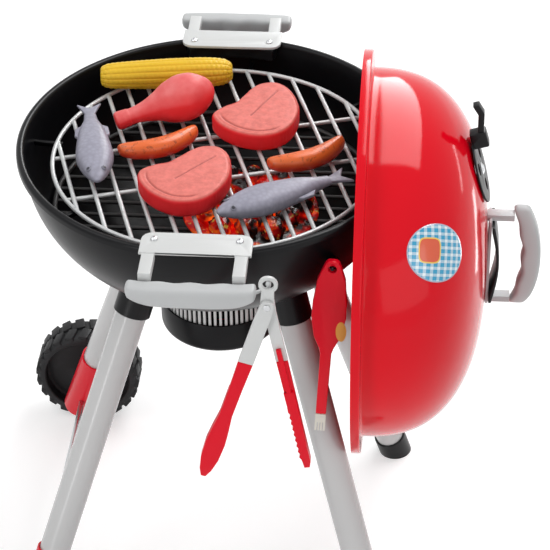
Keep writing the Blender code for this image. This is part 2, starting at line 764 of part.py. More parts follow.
def join_brush_hook(bowl, rim):
    """The peg on the bowl's wall that the brush hangs on, with its round foot."""
    tip = Vector(peg_point(BRUSH_HOLE, BRUSH_HOLE_RADIUS, BRUSH_THICKNESS, BRUSH_THICKNESS))
    skin_y = -chord(BRUSH_HOLE[0], BOWL_RADIUS - BOWL_WALL)
    root = Vector(peg_point(BRUSH_HOLE, BRUSH_HOLE_RADIUS, BRUSH_THICKNESS, BRUSH_HOLE[1] - skin_y))
    foot = root + peg_direction() * HOOK_PAD_LENGTH
    join(bowl, rods("brush_hook", [(root, tip)], HOOK_WIRE_RADIUS, rim, tool=True))
    join(bowl, rods("brush_hook_foot", [(root, foot)], HOOK_PAD_RADIUS, rim, tool=True))


def grate_peg_top():
    """The height of the pegs' tops, just under the cooking grate's ring."""
    return -GRATE_DEPTH - GRATE_WIRE_RADIUS - FIT_GAP


def plate_top():
    """The height of a handle plate's upper face."""
    return FIT_GAP + PLATE_THICKNESS


def make_handle_bracket(side, handle):
    """The plate on the rim with the two arms that hold a grip."""
    turn = PLATE_HALF_LENGTH - PLATE_CORNER
    inner = -PLATE_INNER_REACH - PLATE_CORNER
    outline = [(-PLATE_HALF_LENGTH, -PLATE_OUTER_REACH), (PLATE_HALF_LENGTH, -PLATE_OUTER_REACH)]
    outline += arc((turn, inner), PLATE_CORNER, 0, 90, CORNER_POINTS)
    outline += arc((-turn, inner), PLATE_CORNER, 90, 180, CORNER_POINTS)
    holes = [circle((x, -SCREW_REACH), SCREW_HOLE_RADIUS, SCREW_STEPS)
             for x in (-SCREW_PLACE, SCREW_PLACE)]
    bracket = plate("handle_bracket_" + side, [outline] + holes, PLATE_THICKNESS, handle,
                    (0, 0, FIT_GAP + PLATE_THICKNESS / 2))
    top = plate_top() - ARM_TOP_SET_BACK
    start = PLATE_OUTER_REACH - ARM_OVERLAP
    end = GRIP_OUTER_REACH - GRIP_WIDTH - FIT_GAP
    arms = [placed((x, -(start + end) / 2, top - ARM_HEIGHT / 2), (ARM_WIDTH, end - start, ARM_HEIGHT))
            for x in (-ARM_PLACE, ARM_PLACE)]
    join(bracket, boxes(side + "_handle_arms", arms, handle, tool=True))
    return finish(bracket, WHITE_PLASTIC)


def grip_rings(bend):
    """Sections along a grip: thinner and set back at its ends, with waves for the fingers."""
    rings = []
    half = GRIP_LENGTH / 2
    for station in range(GRIP_STATIONS + 1):
        share = -math.cos(math.pi * station / GRIP_STATIONS)
        outer = -GRIP_OUTER_REACH + GRIP_BOW * share ** GRIP_BOW_POWER
        inner = -GRIP_OUTER_REACH + GRIP_WIDTH
        wave = GRIP_WAVE * (1 - math.cos(2 * math.tau * share)) / 2 * (1 - share ** 2)
        height = GRIP_HEIGHT + (GRIP_END_HEIGHT - GRIP_HEIGHT) * abs(share) ** GRIP_TAPER_POWER
        section = rounded_section((inner - outer - wave) / 2, height / 2, GRIP_SECTION_POWER,
                                  GRIP_RING_POINTS)
        middle = (inner - wave + outer) / 2 + bend * share ** 2
        centre = Vector((half * share, middle, -GRIP_TOP - height / 2))
        rings.append([centre + Vector((0, y, z)) for y, z in section])
    return rings


def make_grip(name, parent, location=(0, 0, 0), rotation=(0, 0, 0), bend=0.0, hook=None):
    """A grip, given in the frame of a side handle, with a hook moulded on if it has one."""
    grip = loft(name, grip_rings(bend), parent, location, rotation)
    if hook:
        join(grip, hook)
    return finish(grip, GRIP_PLASTIC)


def make_handle_screws(side, handle):
    """The two screws that hold a handle's plate."""
    bottom = plate_top() + FIT_GAP
    top = bottom + SCREW_HEAD_HEIGHT
    profile = [(0, top), (SCREW_HEAD_RADIUS, top), (SCREW_HEAD_RADIUS, bottom),
               (SCREW_RADIUS, bottom), (SCREW_RADIUS, -SCREW_LENGTH), (0, -SCREW_LENGTH)]
    for number, x in enumerate((-SCREW_PLACE, SCREW_PLACE), 1):
        screw = turned(f"handle_screw_{side}_{number}", profile, SCREW_STEPS, handle,
                       (x, -SCREW_REACH, 0))
        finish(screw, STEEL)


def leg_signs():
    """Each leg's name, with the sides of X and Y that it stands on."""
    return {"front_left": (-1, -1), "front_right": (1, -1), "rear_left": (-1, 1), "rear_right": (1, 1)}


def leg_slope(signs):
    """How far a leg runs out along X and Y for each unit that it drops."""
    if signs[0] < 0:
        return LEFT_LEG_SLOPE_SHARES[0], LEFT_LEG_SLOPE_SHARES[1] * signs[1]
    return RIGHT_LEG_SLOPE_SHARES[0], RIGHT_LEG_SLOPE_SHARES[1] * signs[1]


def leg_point(signs, depth):
    """A point on a leg's axis at a depth below the rim."""
    slope = leg_slope(signs)
    drop = depth - LEG_REFERENCE_DEPTH
    return (LEG_REFERENCE_X * signs[0] + slope[0] * drop,
            LEG_REFERENCE_Y * signs[1] + slope[1] * drop, -depth)


def along_leg(signs, depth):
    """The way along a leg from its reference point down to a depth."""
    slope = leg_slope(signs)
    return (depth - LEG_REFERENCE_DEPTH) * math.sqrt(1 + slope[0] ** 2 + slope[1] ** 2)


def axle_place():
    """Where the axle crosses the left legs: X and height from the rim's centre."""
    height = WHEEL_RADIUS - RIM_HEIGHT
    return leg_point((-1, 1), -height)[0], height


def leg_frame(name, rim, signs):
    """A frame on a leg's axis, its Z axis down the leg."""
    slope = leg_slope(signs)
    start = leg_point(signs, LEG_REFERENCE_DEPTH)
    return aimed_frame("leg_axis_" + name, rim, start, (slope[0], slope[1], -1))


def bore_radius():
    """The bore of what a leg is pushed into."""
    return LEG_RADIUS + FIT_GAP


def make_leg(name, axis, signs, axle_cutter):
    """A tube, with a hole for the axle in a left one."""
    end_depth = LEFT_LEG_END_DEPTH if signs[0] < 0 else RIM_HEIGHT - RIGHT_LEG_END_HEIGHT
    top, bottom = along_leg(signs, end_depth), along_leg(signs, LEG_TOP_DEPTH)
    inner = LEG_RADIUS - LEG_WALL
    profile = [(LEG_RADIUS, top), (LEG_RADIUS, bottom), (inner, bottom), (inner, top)]
    leg = turned("leg_" + name, profile, LEG_STEPS, axis, ring=True)
    if signs[0] < 0:
        cut(leg, axle_cutter)
    return finish(leg, GREY_PLASTIC)


def make_leg_socket(name, axis, signs, bowl_cutter):
    """The cup under the bowl that holds a leg's upper end."""
    mouth = along_leg(signs, SOCKET_MOUTH_DEPTH)
    bore_end = along_leg(signs, LEG_TOP_DEPTH) - FIT_GAP
    end = along_leg(signs, SOCKET_TOP_DEPTH)
    outer = bore_radius() + SOCKET_WALL
    profile = [(0, bore_end), (bore_radius(), bore_end), (bore_radius(), mouth), (outer, mouth),
               (outer, end), (0, end)]
    socket = turned("leg_socket_" + name, profile, LEG_STEPS, axis)
    cut(socket, bowl_cutter)
    return finish(socket, BLACK_PLASTIC)


def make_leg_sleeve(name, axis, signs, axle_cutter):
    """The red cup on a left leg's lower end, which carries the axle."""
    mouth = along_leg(signs, SLEEVE_TOP_DEPTH)
    bore_end = along_leg(signs, LEFT_LEG_END_DEPTH) + FIT_GAP
    end = bore_end + SLEEVE_END_WALL
    outer = bore_radius() + SLEEVE_WALL
    profile = [(0, end), (outer, end), (outer, mouth), (bore_radius(), mouth),
               (bore_radius(), bore_end), (0, bore_end)]
    sleeve = turned("leg_sleeve_" + name, profile, LEG_STEPS, axis)
    cut(sleeve, axle_cutter)
    return finish(sleeve, RED_PLASTIC)


def make_foot_cap(name, axis, signs, floor_cutter):
    """The black cap on a right leg, cut level with the floor."""
    mouth = along_leg(signs, RIM_HEIGHT - FOOT_HEIGHT)
    bore_end = along_leg(signs, RIM_HEIGHT - RIGHT_LEG_END_HEIGHT) + FIT_GAP
    outer = bore_radius() + FOOT_WALL
    end = along_leg(signs, RIM_HEIGHT) + outer
    profile = [(0, end), (outer, end), (outer, mouth), (bore_radius(), mouth),
               (bore_radius(), bore_end), (0, bore_end)]
    cap = turned("foot_cap_" + name, profile, LEG_STEPS, axis)
    cut(cap, floor_cutter)
    return finish(cap, BLACK_PLASTIC)


def make_legs(rim, bowl_cutter):
    """The four legs with their sockets, sleeves and foot caps."""
    x, z = axle_place()
    reach = WHEEL_REACH
    axle_cutter = rods("axle_hole_cutter", [((x, -reach, z), (x, reach, z))],
                       AXLE_RADIUS + AXLE_CLEARANCE, rim, tool=True)
    span = 4 * BOWL_RADIUS
    below = (0, 0, -RIM_HEIGHT - span / 2)
    floor_cutter = boxes("floor_cutter", [placed(below, (span, span, span))], rim, tool=True)
    for name, signs in leg_signs().items():
        axis = leg_frame(name, rim, signs)
        make_leg(name, axis, signs, axle_cutter)
        make_leg_socket(name, axis, signs, bowl_cutter)
        if signs[0] < 0:
            make_leg_sleeve(name, axis, signs, axle_cutter)
        else:
            make_foot_cap(name, axis, signs, floor_cutter)


def wheel_outline():
    """The outline of the tread: lugs with sloping flanks."""
    points = []
    for lug in range(LUG_COUNT):
        start = lug - LUG_SHARE - LUG_FLANK_SHARE
        low = WHEEL_RADIUS - LUG_DEPTH
        for share, radius in ((start, low), (lug - LUG_SHARE, WHEEL_RADIUS),
                              (lug + LUG_SHARE, WHEEL_RADIUS),
                              (lug + LUG_SHARE + LUG_FLANK_SHARE, low)):
            angle = math.tau * (share + 0.5) / LUG_COUNT
            points.append((radius * math.sin(angle), -radius * math.cos(angle)))
    return points


def make_wheel(side, carrier):
    """A wheel moulded in one piece. Its frame's Z axis points outwards."""
    wheel = plate("wheel_" + side, [wheel_outline()], WHEEL_WIDTH, carrier)
    hub_top = WHEEL_WEB / 2 + WHEEL_HUB_OUTSIDE
    hub_bottom = -WHEEL_HUB_INSIDE
    beyond = WHEEL_WIDTH / 2 + CUT_OVERRUN
    for name, start, end in (("outer", WHEEL_WEB / 2, beyond), ("inner", -beyond, -WHEEL_WEB / 2)):
        ring = [(WHEEL_RECESS_RADIUS, end), (WHEEL_RECESS_RADIUS, start),
                (WHEEL_HUB_RADIUS, start), (WHEEL_HUB_RADIUS, end)]
        cut(wheel, turned(side + "_wheel_recess_" + name, ring, WHEEL_STEPS, carrier, ring=True,
                         tool=True))
    trim = [(2 * WHEEL_HUB_RADIUS, beyond), (2 * WHEEL_HUB_RADIUS, hub_top), (0, hub_top)]
    cut(wheel, turned(side + "_hub_trim", [(0, beyond)] + trim, WHEEL_STEPS, carrier, tool=True))
    boss = solid_profile(WHEEL_HUB_RADIUS, 0, hub_bottom)
    join(wheel, turned(side + "_hub_boss", boss, WHEEL_STEPS, carrier, tool=True))
    bore = [((0, 0, hub_bottom - CUT_OVERRUN), (0, 0, hub_top + CUT_OVERRUN))]
    cut(wheel, rods(side + "_wheel_bore", bore, AXLE_RADIUS + AXLE_CLEARANCE, carrier, tool=True))
    return finish(wheel, BLACK_PLASTIC)


def axle_end():
    """How far the axle's end reaches from the middle, inside its cap."""
    return WHEEL_REACH + WHEEL_WEB / 2 + WHEEL_HUB_OUTSIDE + FIT_GAP + AXLE_CAP_DEPTH - AXLE_CAP_WALL


def make_axle(rim):
    """The axle with a cap pressed on each end."""
    x, z = axle_place()
    end = axle_end() - FIT_GAP
    finish(rods("axle", [((x, -end, z), (x, end, z))], AXLE_RADIUS, rim), STEEL)
    bore = AXLE_RADIUS + AXLE_CLEARANCE
    mouth = axle_end() + AXLE_CAP_WALL - AXLE_CAP_DEPTH
    top = axle_end() + AXLE_CAP_WALL
    profile = [(0, top), (AXLE_CAP_RADIUS, top), (AXLE_CAP_RADIUS, mouth), (bore, mouth),
               (bore, axle_end()), (0, axle_end())]
    for side, turn in (("near", 90), ("far", -90)):
        cap = turned("axle_cap_" + side, profile, AXLE_CAP_STEPS, rim, (x, 0, z), (turn, 0, 0))
        finish(cap, BLACK_PLASTIC)


def underside():
    """The height of the bowl's outer floor."""
    return bowl_floor() - BOWL_WALL


def dish_floor():
    """The height of the ash dish's inner floor."""
    return -DISH_RIM_DEPTH - DISH_HEIGHT


def make_collar(rim, bowl_cutter):
    """The slotted collar that hangs under the bowl and carries the ash dish."""
    top, bottom = bowl_floor() + COLLAR_TOP_ROOM, dish_floor() + DISH_CORNER
    inner = COLLAR_RADIUS - COLLAR_WALL
    profile = [(COLLAR_RADIUS, top), (COLLAR_RADIUS, bottom), (inner, bottom), (inner, top)]
    collar = turned("slotted_collar", profile, COLLAR_STEPS, rim, ring=True)
    cut(collar, bowl_cutter)
    centre = (COLLAR_RADIUS, 0, underside() - SLOT_TOP_DEPTH - SLOT_HEIGHT / 2)
    size = (2 * COLLAR_WALL + 2 * CUT_OVERRUN, SLOT_WIDTH, SLOT_HEIGHT)
    slots = [placed(centre, size, 360 * index / SLOT_COUNT) for index in range(SLOT_COUNT)]
    cut(collar, boxes("collar_slots", slots, rim, tool=True))
    return finish(collar, WHITE_PLASTIC)


def make_ash_dish(rim):
    """The pot-shaped dish round the collar, with the hole for the light's button."""
    corner = (DISH_RADIUS - DISH_CORNER, dish_floor() + DISH_CORNER)
    profile = [(BUTTON_HOLE_RADIUS, dish_floor())] + arc(corner, DISH_CORNER, -90, 0, DISH_POINTS)
    profile += [(DISH_RADIUS, -DISH_RIM_DEPTH)]
    return finish(turned("ash_dish", profile, DISH_STEPS, rim, wall=DISH_WALL), BLACK_PLASTIC)


def case_top():
    """The height of the battery case's top."""
    return underside() - FIT_GAP


def cover_top():
    """The height of the battery cover's upper face."""
    return case_top() - CASE_HEIGHT - FIT_GAP


def button_stop():
    """The height of the switch's underside, which stops the button."""
    return dish_floor() + FIT_GAP + BUTTON_FLANGE + BUTTON_NOSE + BUTTON_TRAVEL + FIT_GAP


def make_battery_box(rim):
    """The battery case, its cover with cradle ribs and switch, and two cells."""
    inner = CASE_RADIUS - CASE_WALL
    mouth = case_top() - CASE_HEIGHT
    ceiling = case_top() - CASE_WALL
    profile = [(CASE_HOLE_RADIUS, case_top()), (CASE_RADIUS, case_top()), (CASE_RADIUS, mouth),
               (inner, mouth), (inner, ceiling), (CASE_HOLE_RADIUS, ceiling)]
    finish(turned("battery_case", profile, CASE_STEPS, rim, ring=True), BLACK_PLASTIC)

    bottom = cover_top() - COVER_THICKNESS
    stepped = [(0, cover_top()), (CASE_RADIUS, cover_top()), (CASE_RADIUS, bottom),
               (SWITCH_BOSS_RADIUS, bottom), (SWITCH_BOSS_RADIUS, button_stop()), (0, button_stop())]
    cover = turned("battery_cover", stepped, CASE_STEPS, rim)
    seat = -CELL_DEPTH - CELL_RADIUS - FIT_GAP
    low = cover_top() - COVER_THICKNESS / 2
    size = (CRADLE_THICKNESS, 2 * CRADLE_HALF_WIDTH, seat - low)
    ribs = [placed((x, 0, (seat + low) / 2), size) for x in (-CRADLE_PLACE, CRADLE_PLACE)]
    join(cover, boxes("cradle_ribs", ribs, rim, tool=True))
    finish(cover, BLACK_PLASTIC)

    for name, y in (("near", -CELL_PITCH / 2), ("far", CELL_PITCH / 2)):
        ends = [((-CELL_LENGTH / 2, y, -CELL_DEPTH), (CELL_LENGTH / 2, y, -CELL_DEPTH))]
        finish(rods("battery_cell_" + name, ends, CELL_RADIUS, rim, CELL_STEPS), CELL_FINISH)


def make_light_button(rim):
    """The push button under the ash dish, with the flange that keeps it in."""
    low = dish_floor() + FIT_GAP
    step = low + BUTTON_FLANGE
    nose = BUTTON_RADIUS / 2
    end = dish_floor() - DISH_WALL - BUTTON_PROUD
    profile = [(0, step + BUTTON_NOSE), (nose, step + BUTTON_NOSE), (nose, step),
               (BUTTON_FLANGE_RADIUS, step), (BUTTON_FLANGE_RADIUS, low), (BUTTON_RADIUS, low),
               (BUTTON_RADIUS, end), (0, end)]
    return finish(turned("light_button", profile, CASE_STEPS // 2, rim), RED_PLASTIC)


def make_lamp_board(rim):
    """The round board on the bowl's floor with its two pins, and three lamps on it."""
    bottom = bowl_floor() + FIT_GAP
    top = bottom + BOARD_THICKNESS
    board = turned("lamp_board", solid_profile(BOARD_RADIUS, top, bottom), CASE_STEPS, rim)
    pins = [((x, 0, bottom + BOARD_THICKNESS / 2), (x, 0, bottom - BOARD_PIN_LENGTH))
            for x in (-BOARD_PIN_PLACE, BOARD_PIN_PLACE)]
    join(board, rods("board_pins", pins, BOARD_PIN_RADIUS, rim, LAMP_STEPS, tool=True))
    foot = top - BOARD_THICKNESS / 2
    shoulder = top + LAMP_HEIGHT - LAMP_RADIUS
    dome = [(0, top + LAMP_HEIGHT)]
    dome += [(radius, shoulder + z) for radius, z in arc((0, 0), LAMP_RADIUS, 60, 0, 2)]
    dome += [(LAMP_RADIUS, foot), (0, foot)]
    for x, y in circle((0, 0), LAMP_PLACE, LAMP_COUNT):
        join(board, turned("lamp", dome, LAMP_STEPS, rim, (x, y, 0), tool=True))
    finish(board, GREEN_BOARD)


def wire_ring(name, radius, height, wire, parent):
    """A ring of wire."""
    section = [(radius + r, height + z) for r, z in circle((0, 0), wire, WIRE_SIDES)[::-1]]
    return turned(name, section, GRATE_STEPS, parent, ring=True)


def chord(distance, radius):
    """Half the length of a bar that crosses a ring at a distance from its middle."""
    return math.sqrt(radius ** 2 - distance ** 2)


def coal_ring_place():
    """The radius and height of the charcoal grate's ring, which rests on the bowl's wall."""
    a = math.radians(COAL_GRATE_ANGLE)
    wall_radius = BOWL_RADIUS * math.cos(a) ** (2 / BOWL_POWER)
    wall_height = -BOWL_DEPTH * math.sin(a) ** (2 / BOWL_POWER)
    slope = Vector((wall_radius ** (BOWL_POWER - 1) / BOWL_RADIUS ** BOWL_POWER,
                    -abs(wall_height) ** (BOWL_POWER - 1) / BOWL_DEPTH ** BOWL_POWER)).normalized()
    inward = COAL_WIRE_RADIUS + COAL_SEAT_ROOM
    return wall_radius - slope.x * inward, wall_height - slope.y * inward


def make_charcoal_grate(rim):
    """The lower grate: a ring with bars along X."""
    radius, height = coal_ring_place()
    grate = wire_ring("charcoal_grate", radius, height, COAL_WIRE_RADIUS, rim)
    bars = []
    for index in range(COAL_BARS_EACH_SIDE):
        for side in (-1, 1):
            y = side * COAL_PITCH_SHARE * radius * (index + 0.5)
            half = chord(y, radius)
            bars.append(((-half, y, height - COAL_BAR_DROP), (half, y, height - COAL_BAR_DROP)))
    join(grate, rods("charcoal_bars", bars, COAL_BAR_RADIUS, rim, BAR_SIDES, tool=True))
    return finish(grate, DARK_GREY_PLASTIC)


def coal_tray_bottom():
    """The height at which the coal's tray lies on the charcoal grate."""
    return coal_ring_place()[1] - COAL_BAR_DROP + COAL_BAR_RADIUS + FIT_GAP


def lump_places():
    """Places of the lumps in rows on the tray, from its middle outwards."""
    places = []
    for row in range(-LUMP_ROWS_EACH_SIDE, LUMP_ROWS_EACH_SIDE + 1):
        for column in range(-LUMP_ROWS_EACH_SIDE, LUMP_ROWS_EACH_SIDE + 1):
            x = LUMP_PITCH * (column + row % 2 / 2)
            y = LUMP_PITCH * row * math.sqrt(3) / 2
            if math.hypot(x, y) + LUMP_RADIUS < TRAY_RADIUS:
                places.append((x, y))
    return places


def rough_lump(bm, centre, number):
    """A lump of coal: a ball whose corners are pushed in and out by waves."""
    matrix = Matrix.Translation(centre) @ Matrix.Rotation(number, 4, 'Z')
    made = bmesh.ops.create_icosphere(bm, subdivisions=1, radius=LUMP_RADIUS, matrix=matrix)
    for vert in made["verts"]:
        away = vert.co - Vector(centre)
        turns = [count * way / LUMP_RADIUS for count, way in zip(LUMP_WAVES, away)]
        wave = math.sin(turns[0] + number) * math.cos(turns[1] + 2 * number) * math.cos(turns[2])
        vert.co = Vector(centre) + away * (1 + LUMP_ROUGH_SHARE * wave)


def make_coals(rim):
    """The coals: one see-through moulding, a tray with lumps, that lies on the charcoal grate."""
    bottom = coal_tray_bottom()
    top = bottom + TRAY_THICKNESS
    spot = (TRAY_PLACE[0], TRAY_PLACE[1], 0)
    coals = turned("glowing_coals", solid_profile(TRAY_RADIUS, top, bottom), CASE_STEPS, rim, spot)
    lumps = bmesh.new()
    for number, (x, y) in enumerate(lump_places()):
        rough_lump(lumps, (x, y, top + LUMP_RADIUS * LUMP_SINK_SHARE), number)
    join(coals, add("lumps", mesh_from("lumps", lumps), rim, spot, tool=True))
    return finish(coals, GLOW_FINISH)


def make_cooking_grate(rim):
    """The upper grate: a ring with bars, and two cross bars under them."""
    carrier = frame("cooking_grate_turn", rim, rotation=(0, 0, GRATE_TURN))
    grate = wire_ring("cooking_grate", GRATE_RADIUS, -GRATE_DEPTH, GRATE_WIRE_RADIUS, carrier)
    bars = []
    for index in range(-GRATE_BARS_EACH_SIDE, GRATE_BARS_EACH_SIDE + 1):
        y = index * GRATE_BAR_PITCH
        half = chord(y, GRATE_RADIUS)
        bars.append(((-half, y, -GRATE_DEPTH), (half, y, -GRATE_DEPTH)))
    join(grate, rods("grate_bars", bars, GRATE_WIRE_RADIUS, carrier, BAR_SIDES, tool=True))
    height = -GRATE_DEPTH - GRATE_CROSS_DROP
    crosses = []
    for x in (-GRATE_CROSS_PLACE, GRATE_CROSS_PLACE):
        half = chord(x, GRATE_RADIUS)
        crosses.append(((x, -half, height), (x, half, height)))
    join(grate, rods("grate_cross_bars", crosses, GRATE_WIRE_RADIUS, carrier, BAR_SIDES, tool=True))
    return finish(grate, GREY_PLASTIC)


def lid_wall(shrink=0.0):
    """The lid's wall from its apex down to its flange, or its inner skin shrunk by a wall."""
    start = math.pi / 2
    end = angle_at_depth(LID_WALL / LID_DEPTH, LID_POWER)
    outer = [(r, -z) for r, z in quarter(LID_RADIUS, LID_DEPTH, LID_POWER, start, end, LID_POINTS)]
    outer[0] = (0, outer[0][1])
    return offset(outer, shrink) if shrink else outer


def lid_side(radius):
    """The side of the lid's turned outline that crosses a radius: its upper and lower end."""
    wall = lid_wall()
    for upper, lower in zip(wall, wall[1:]):
        if radius <= lower[0]:
            return upper, lower
    return wall[-2], wall[-1]


def lid_height(radius):
    """The height of the lid's outer skin above the flange at a radius from its axis."""
    upper, lower = lid_side(radius)
    return upper[1] + (lower[1] - upper[1]) * (radius - upper[0]) / (lower[0] - upper[0])


def lid_tilt(radius):
    """The lid's slope at a radius from its axis, in degrees."""
    upper, lower = lid_side(radius)
    return math.degrees(math.atan2(upper[1] - lower[1], lower[0] - upper[0]))


def make_lid(lid, vent):
    """The red lid with its flange, and the holes under the vent."""
    profile = lid_wall() + [(LID_FLANGE_RADIUS, LID_WALL), (LID_FLANGE_RADIUS, LID_WALL - LID_BAND)]
    shell = turned("lid_shell", profile, LID_STEPS, lid, wall=LID_WALL)
    deep = 4 * LID_WALL
    ends = [((x, y, -deep), (x, y, deep)) for x, y in vent_hole_places()]
    cut(shell, rods("lid_vent_holes", ends, VENT_HOLE_RADIUS, vent, tool=True))
    cut(shell, rods("lid_rivet_hole", [((0, 0, -deep), (0, 0, deep))], RIVET_RADIUS + FIT_GAP, vent,
                    tool=True))
    return finish(shell, RED_PLASTIC)


def vent_hole_places():
    """The places of the vent's holes round its rivet."""
    return circle((0, 0), VENT_HOLE_PLACE, VENT_HOLE_COUNT)


def make_lid_skin_cutters(lid):
    """The space inside the lid's inner skin, and the body inside its outer skin, each with a gap."""
    inner = [(0, lid_wall()[0][1] - LID_WALL - FIT_GAP)] + lid_wall(LID_WALL + FIT_GAP)[1:]
    hollow = inner + [(inner[-1][0], 0), (0, 0)]
    outer = [(0, lid_wall()[0][1] + FIT_GAP)] + lid_wall(-FIT_GAP)[1:]
    solid = outer + [(0, outer[-1][1])]
    return (turned("lid_hollow_shape", hollow, LID_STEPS, lid, tool=True),
            turned("lid_solid_cutter", solid, LID_STEPS, lid, tool=True))


def make_lid_hook(rim, lid_hollow):
    """The hook inside the lid that hangs it on the bowl's rim."""
    saddle = FIT_GAP
    inner_x = BOWL_RADIUS
    outer_x = rim_edge() + 2 * FIT_GAP
    slant = LID_LIFT[0] / LID_LIFT[2]
    inner_low = saddle - HOOK_INNER_DROP
    low_x = inner_x - HOOK_INNER_DROP * slant
    outer_low = -HOOK_OUTER_DROP
    end_x = outer_x + HOOK_OUTER_THICKNESS
    shoulder = saddle + HOOK_ARM_HEIGHT
    neck_start = end_x - HOOK_NECK / 2
    neck_top = LID_FRAME[2] + LID_RADIUS
    outline = [(inner_x, saddle), (low_x, inner_low), (low_x - HOOK_THICKNESS, inner_low),
               (inner_x - HOOK_THICKNESS, shoulder), (neck_start, shoulder + HOOK_ARM_HEIGHT),
               (neck_start, neck_top), (neck_start + HOOK_NECK, neck_top),
               (neck_start + HOOK_NECK, shoulder), (end_x, saddle), (end_x, outer_low),
               (outer_x, outer_low), (outer_x, saddle)]
    hook = plate("lid_hook", [outline], HOOK_WIDTH, rim, rotation=(90, 0, 0))
    combine(hook, lid_hollow, 'INTERSECT', 'MANIFOLD')
    return finish(hook, GREY_PLASTIC)


def make_vent(vent):
    """The round damper with its tab, and the rivet that it turns on."""
    bottom = FIT_GAP
    disc_holes = [circle(place, VENT_HOLE_RADIUS, VENT_HOLE_POINTS) for place in vent_hole_places()]
    pivot = circle((0, 0), RIVET_RADIUS + FIT_GAP, VENT_HOLE_POINTS)
    rim_line = circle((0, 0), DAMPER_RADIUS, DAMPER_POINTS)
    damper = plate("vent_damper", [rim_line, pivot] + disc_holes, DAMPER_THICKNESS, vent,
                   (0, 0, bottom + DAMPER_THICKNESS / 2))
    tab_end = -DAMPER_RADIUS - TAB_RISE
    block = placed((tab_end + TAB_LENGTH / 2, 0, bottom + TAB_HEIGHT / 2),
                   (TAB_LENGTH, TAB_WIDTH, TAB_HEIGHT))
    join(damper, boxes("vent_tab", [block], vent, edge=TAB_EDGE, tool=True))
    high = bottom + TAB_HEIGHT - TAB_EDGE
    places = [(tab_end + TAB_LENGTH / 2, high), (tab_end, high),
              (tab_end - TAB_ARM_KNEE, high + TAB_ARM_BEND),
              (tab_end - TAB_ARM_LENGTH, high + TAB_ARM_BEND / 2)]
    outline = places + [(x, z - TAB_ARM_THICKNESS) for x, z in places[::-1]]
    join(damper, plate("vent_tab_arm", [outline], TAB_ARM_WIDTH, vent, rotation=(90, 0, 0), tool=True))
    finish(damper, BLACK_PLASTIC)

    under = bottom + DAMPER_THICKNESS + FIT_GAP
    inside = -LID_WALL - RIVET_CURVE_ROOM
    profile = [(0, under + RIVET_HEAD_HEIGHT), (RIVET_HEAD_RADIUS / 2, under + RIVET_HEAD_HEIGHT),
               (RIVET_HEAD_RADIUS, under), (RIVET_RADIUS, under), (RIVET_RADIUS, inside),
               (RIVET_HEAD_RADIUS, inside), (RIVET_HEAD_RADIUS, inside - RIVET_HEAD_HEIGHT),
               (0, inside - RIVET_HEAD_HEIGHT)]
    finish(turned("vent_rivet", profile, PIN_STEPS, vent), STEEL)


def strap_bottom():
    """The height of the strap that lies on the lid's crown, under the heat shield."""
    return LID_DEPTH + FIT_GAP


def make_lid_handle(lid, lid_solid):
    """The lid's grip, the bracket that holds it, and the heat shield between its arms."""
    middle = GRIP_TOP + GRIP_HEIGHT / 2
    make_grip("lid_grip", lid, (0, middle, LID_GRIP_REACH - GRIP_OUTER_REACH), (-90, 0, 0),
              LID_GRIP_BOW)

    arm_share = (LID_ARM_PLACE + LID_ARM_THICKNESS / 2) / (GRIP_LENGTH / 2)
    end = LID_GRIP_REACH - GRIP_WIDTH - LID_GRIP_BOW * arm_share ** 2 - FIT_GAP
    foot = lid_height(LID_ARM_PLACE + LID_ARM_THICKNESS) - LID_WALL
    arms = [placed((x, 0, (foot + end) / 2), (LID_ARM_THICKNESS, ARM_WIDTH, end - foot))
            for x in (-LID_ARM_PLACE, LID_ARM_PLACE)]
    bracket = boxes("lid_bracket", arms, lid)
    strap = placed((0, 0, strap_bottom() + LID_STRAP_THICKNESS / 2),
                   (2 * LID_ARM_PLACE, LID_STRAP_WIDTH, LID_STRAP_THICKNESS))
    join(bracket, boxes("lid_strap", [strap], lid, tool=True))
    cut(bracket, lid_solid)
    finish(bracket, WHITE_PLASTIC)

    low = strap_bottom() + LID_STRAP_THICKNESS + FIT_GAP
    half = SHIELD_HALF_LENGTH
    outer, inner = [], []
    for step in range(SHIELD_POINTS + 1):
        share = -1 + 2 * step / SHIELD_POINTS
        rise = SHIELD_BOW * math.cos(share * math.pi / 2)
        outer.append((half * share, low + SHIELD_THICKNESS + rise))
        inner.append(((half - SHIELD_FOOT) * -share, low + rise * (1 if abs(share) < 1 else 0)))
    outline = [(-half, low)] + outer + [(half, low)] + inner
    shield = plate("lid_heat_shield", [outline], SHIELD_WIDTH, lid, rotation=(90, 0, 0))
    finish(shield, BLACK_PLASTIC)


def peg_direction():
    """The way in which the utensils' hooks point, out and up."""
    slope = math.radians(PEG_SLOPE)
    return Vector((0, -math.cos(slope), math.sin(slope)))


def peg_point(hole, hole_radius, thickness, reach):
    """A point on a hook's axis, so that the hole of what hangs there just clears it."""
    slope = math.tan(math.radians(PEG_SLOPE))
    across = HOOK_WIRE_RADIUS / math.cos(math.radians(PEG_SLOPE))
    height = hole[2] + hole_radius - FIT_GAP - across - slope * thickness / 2
    return (hole[0], hole[1] - reach, height + slope * reach)


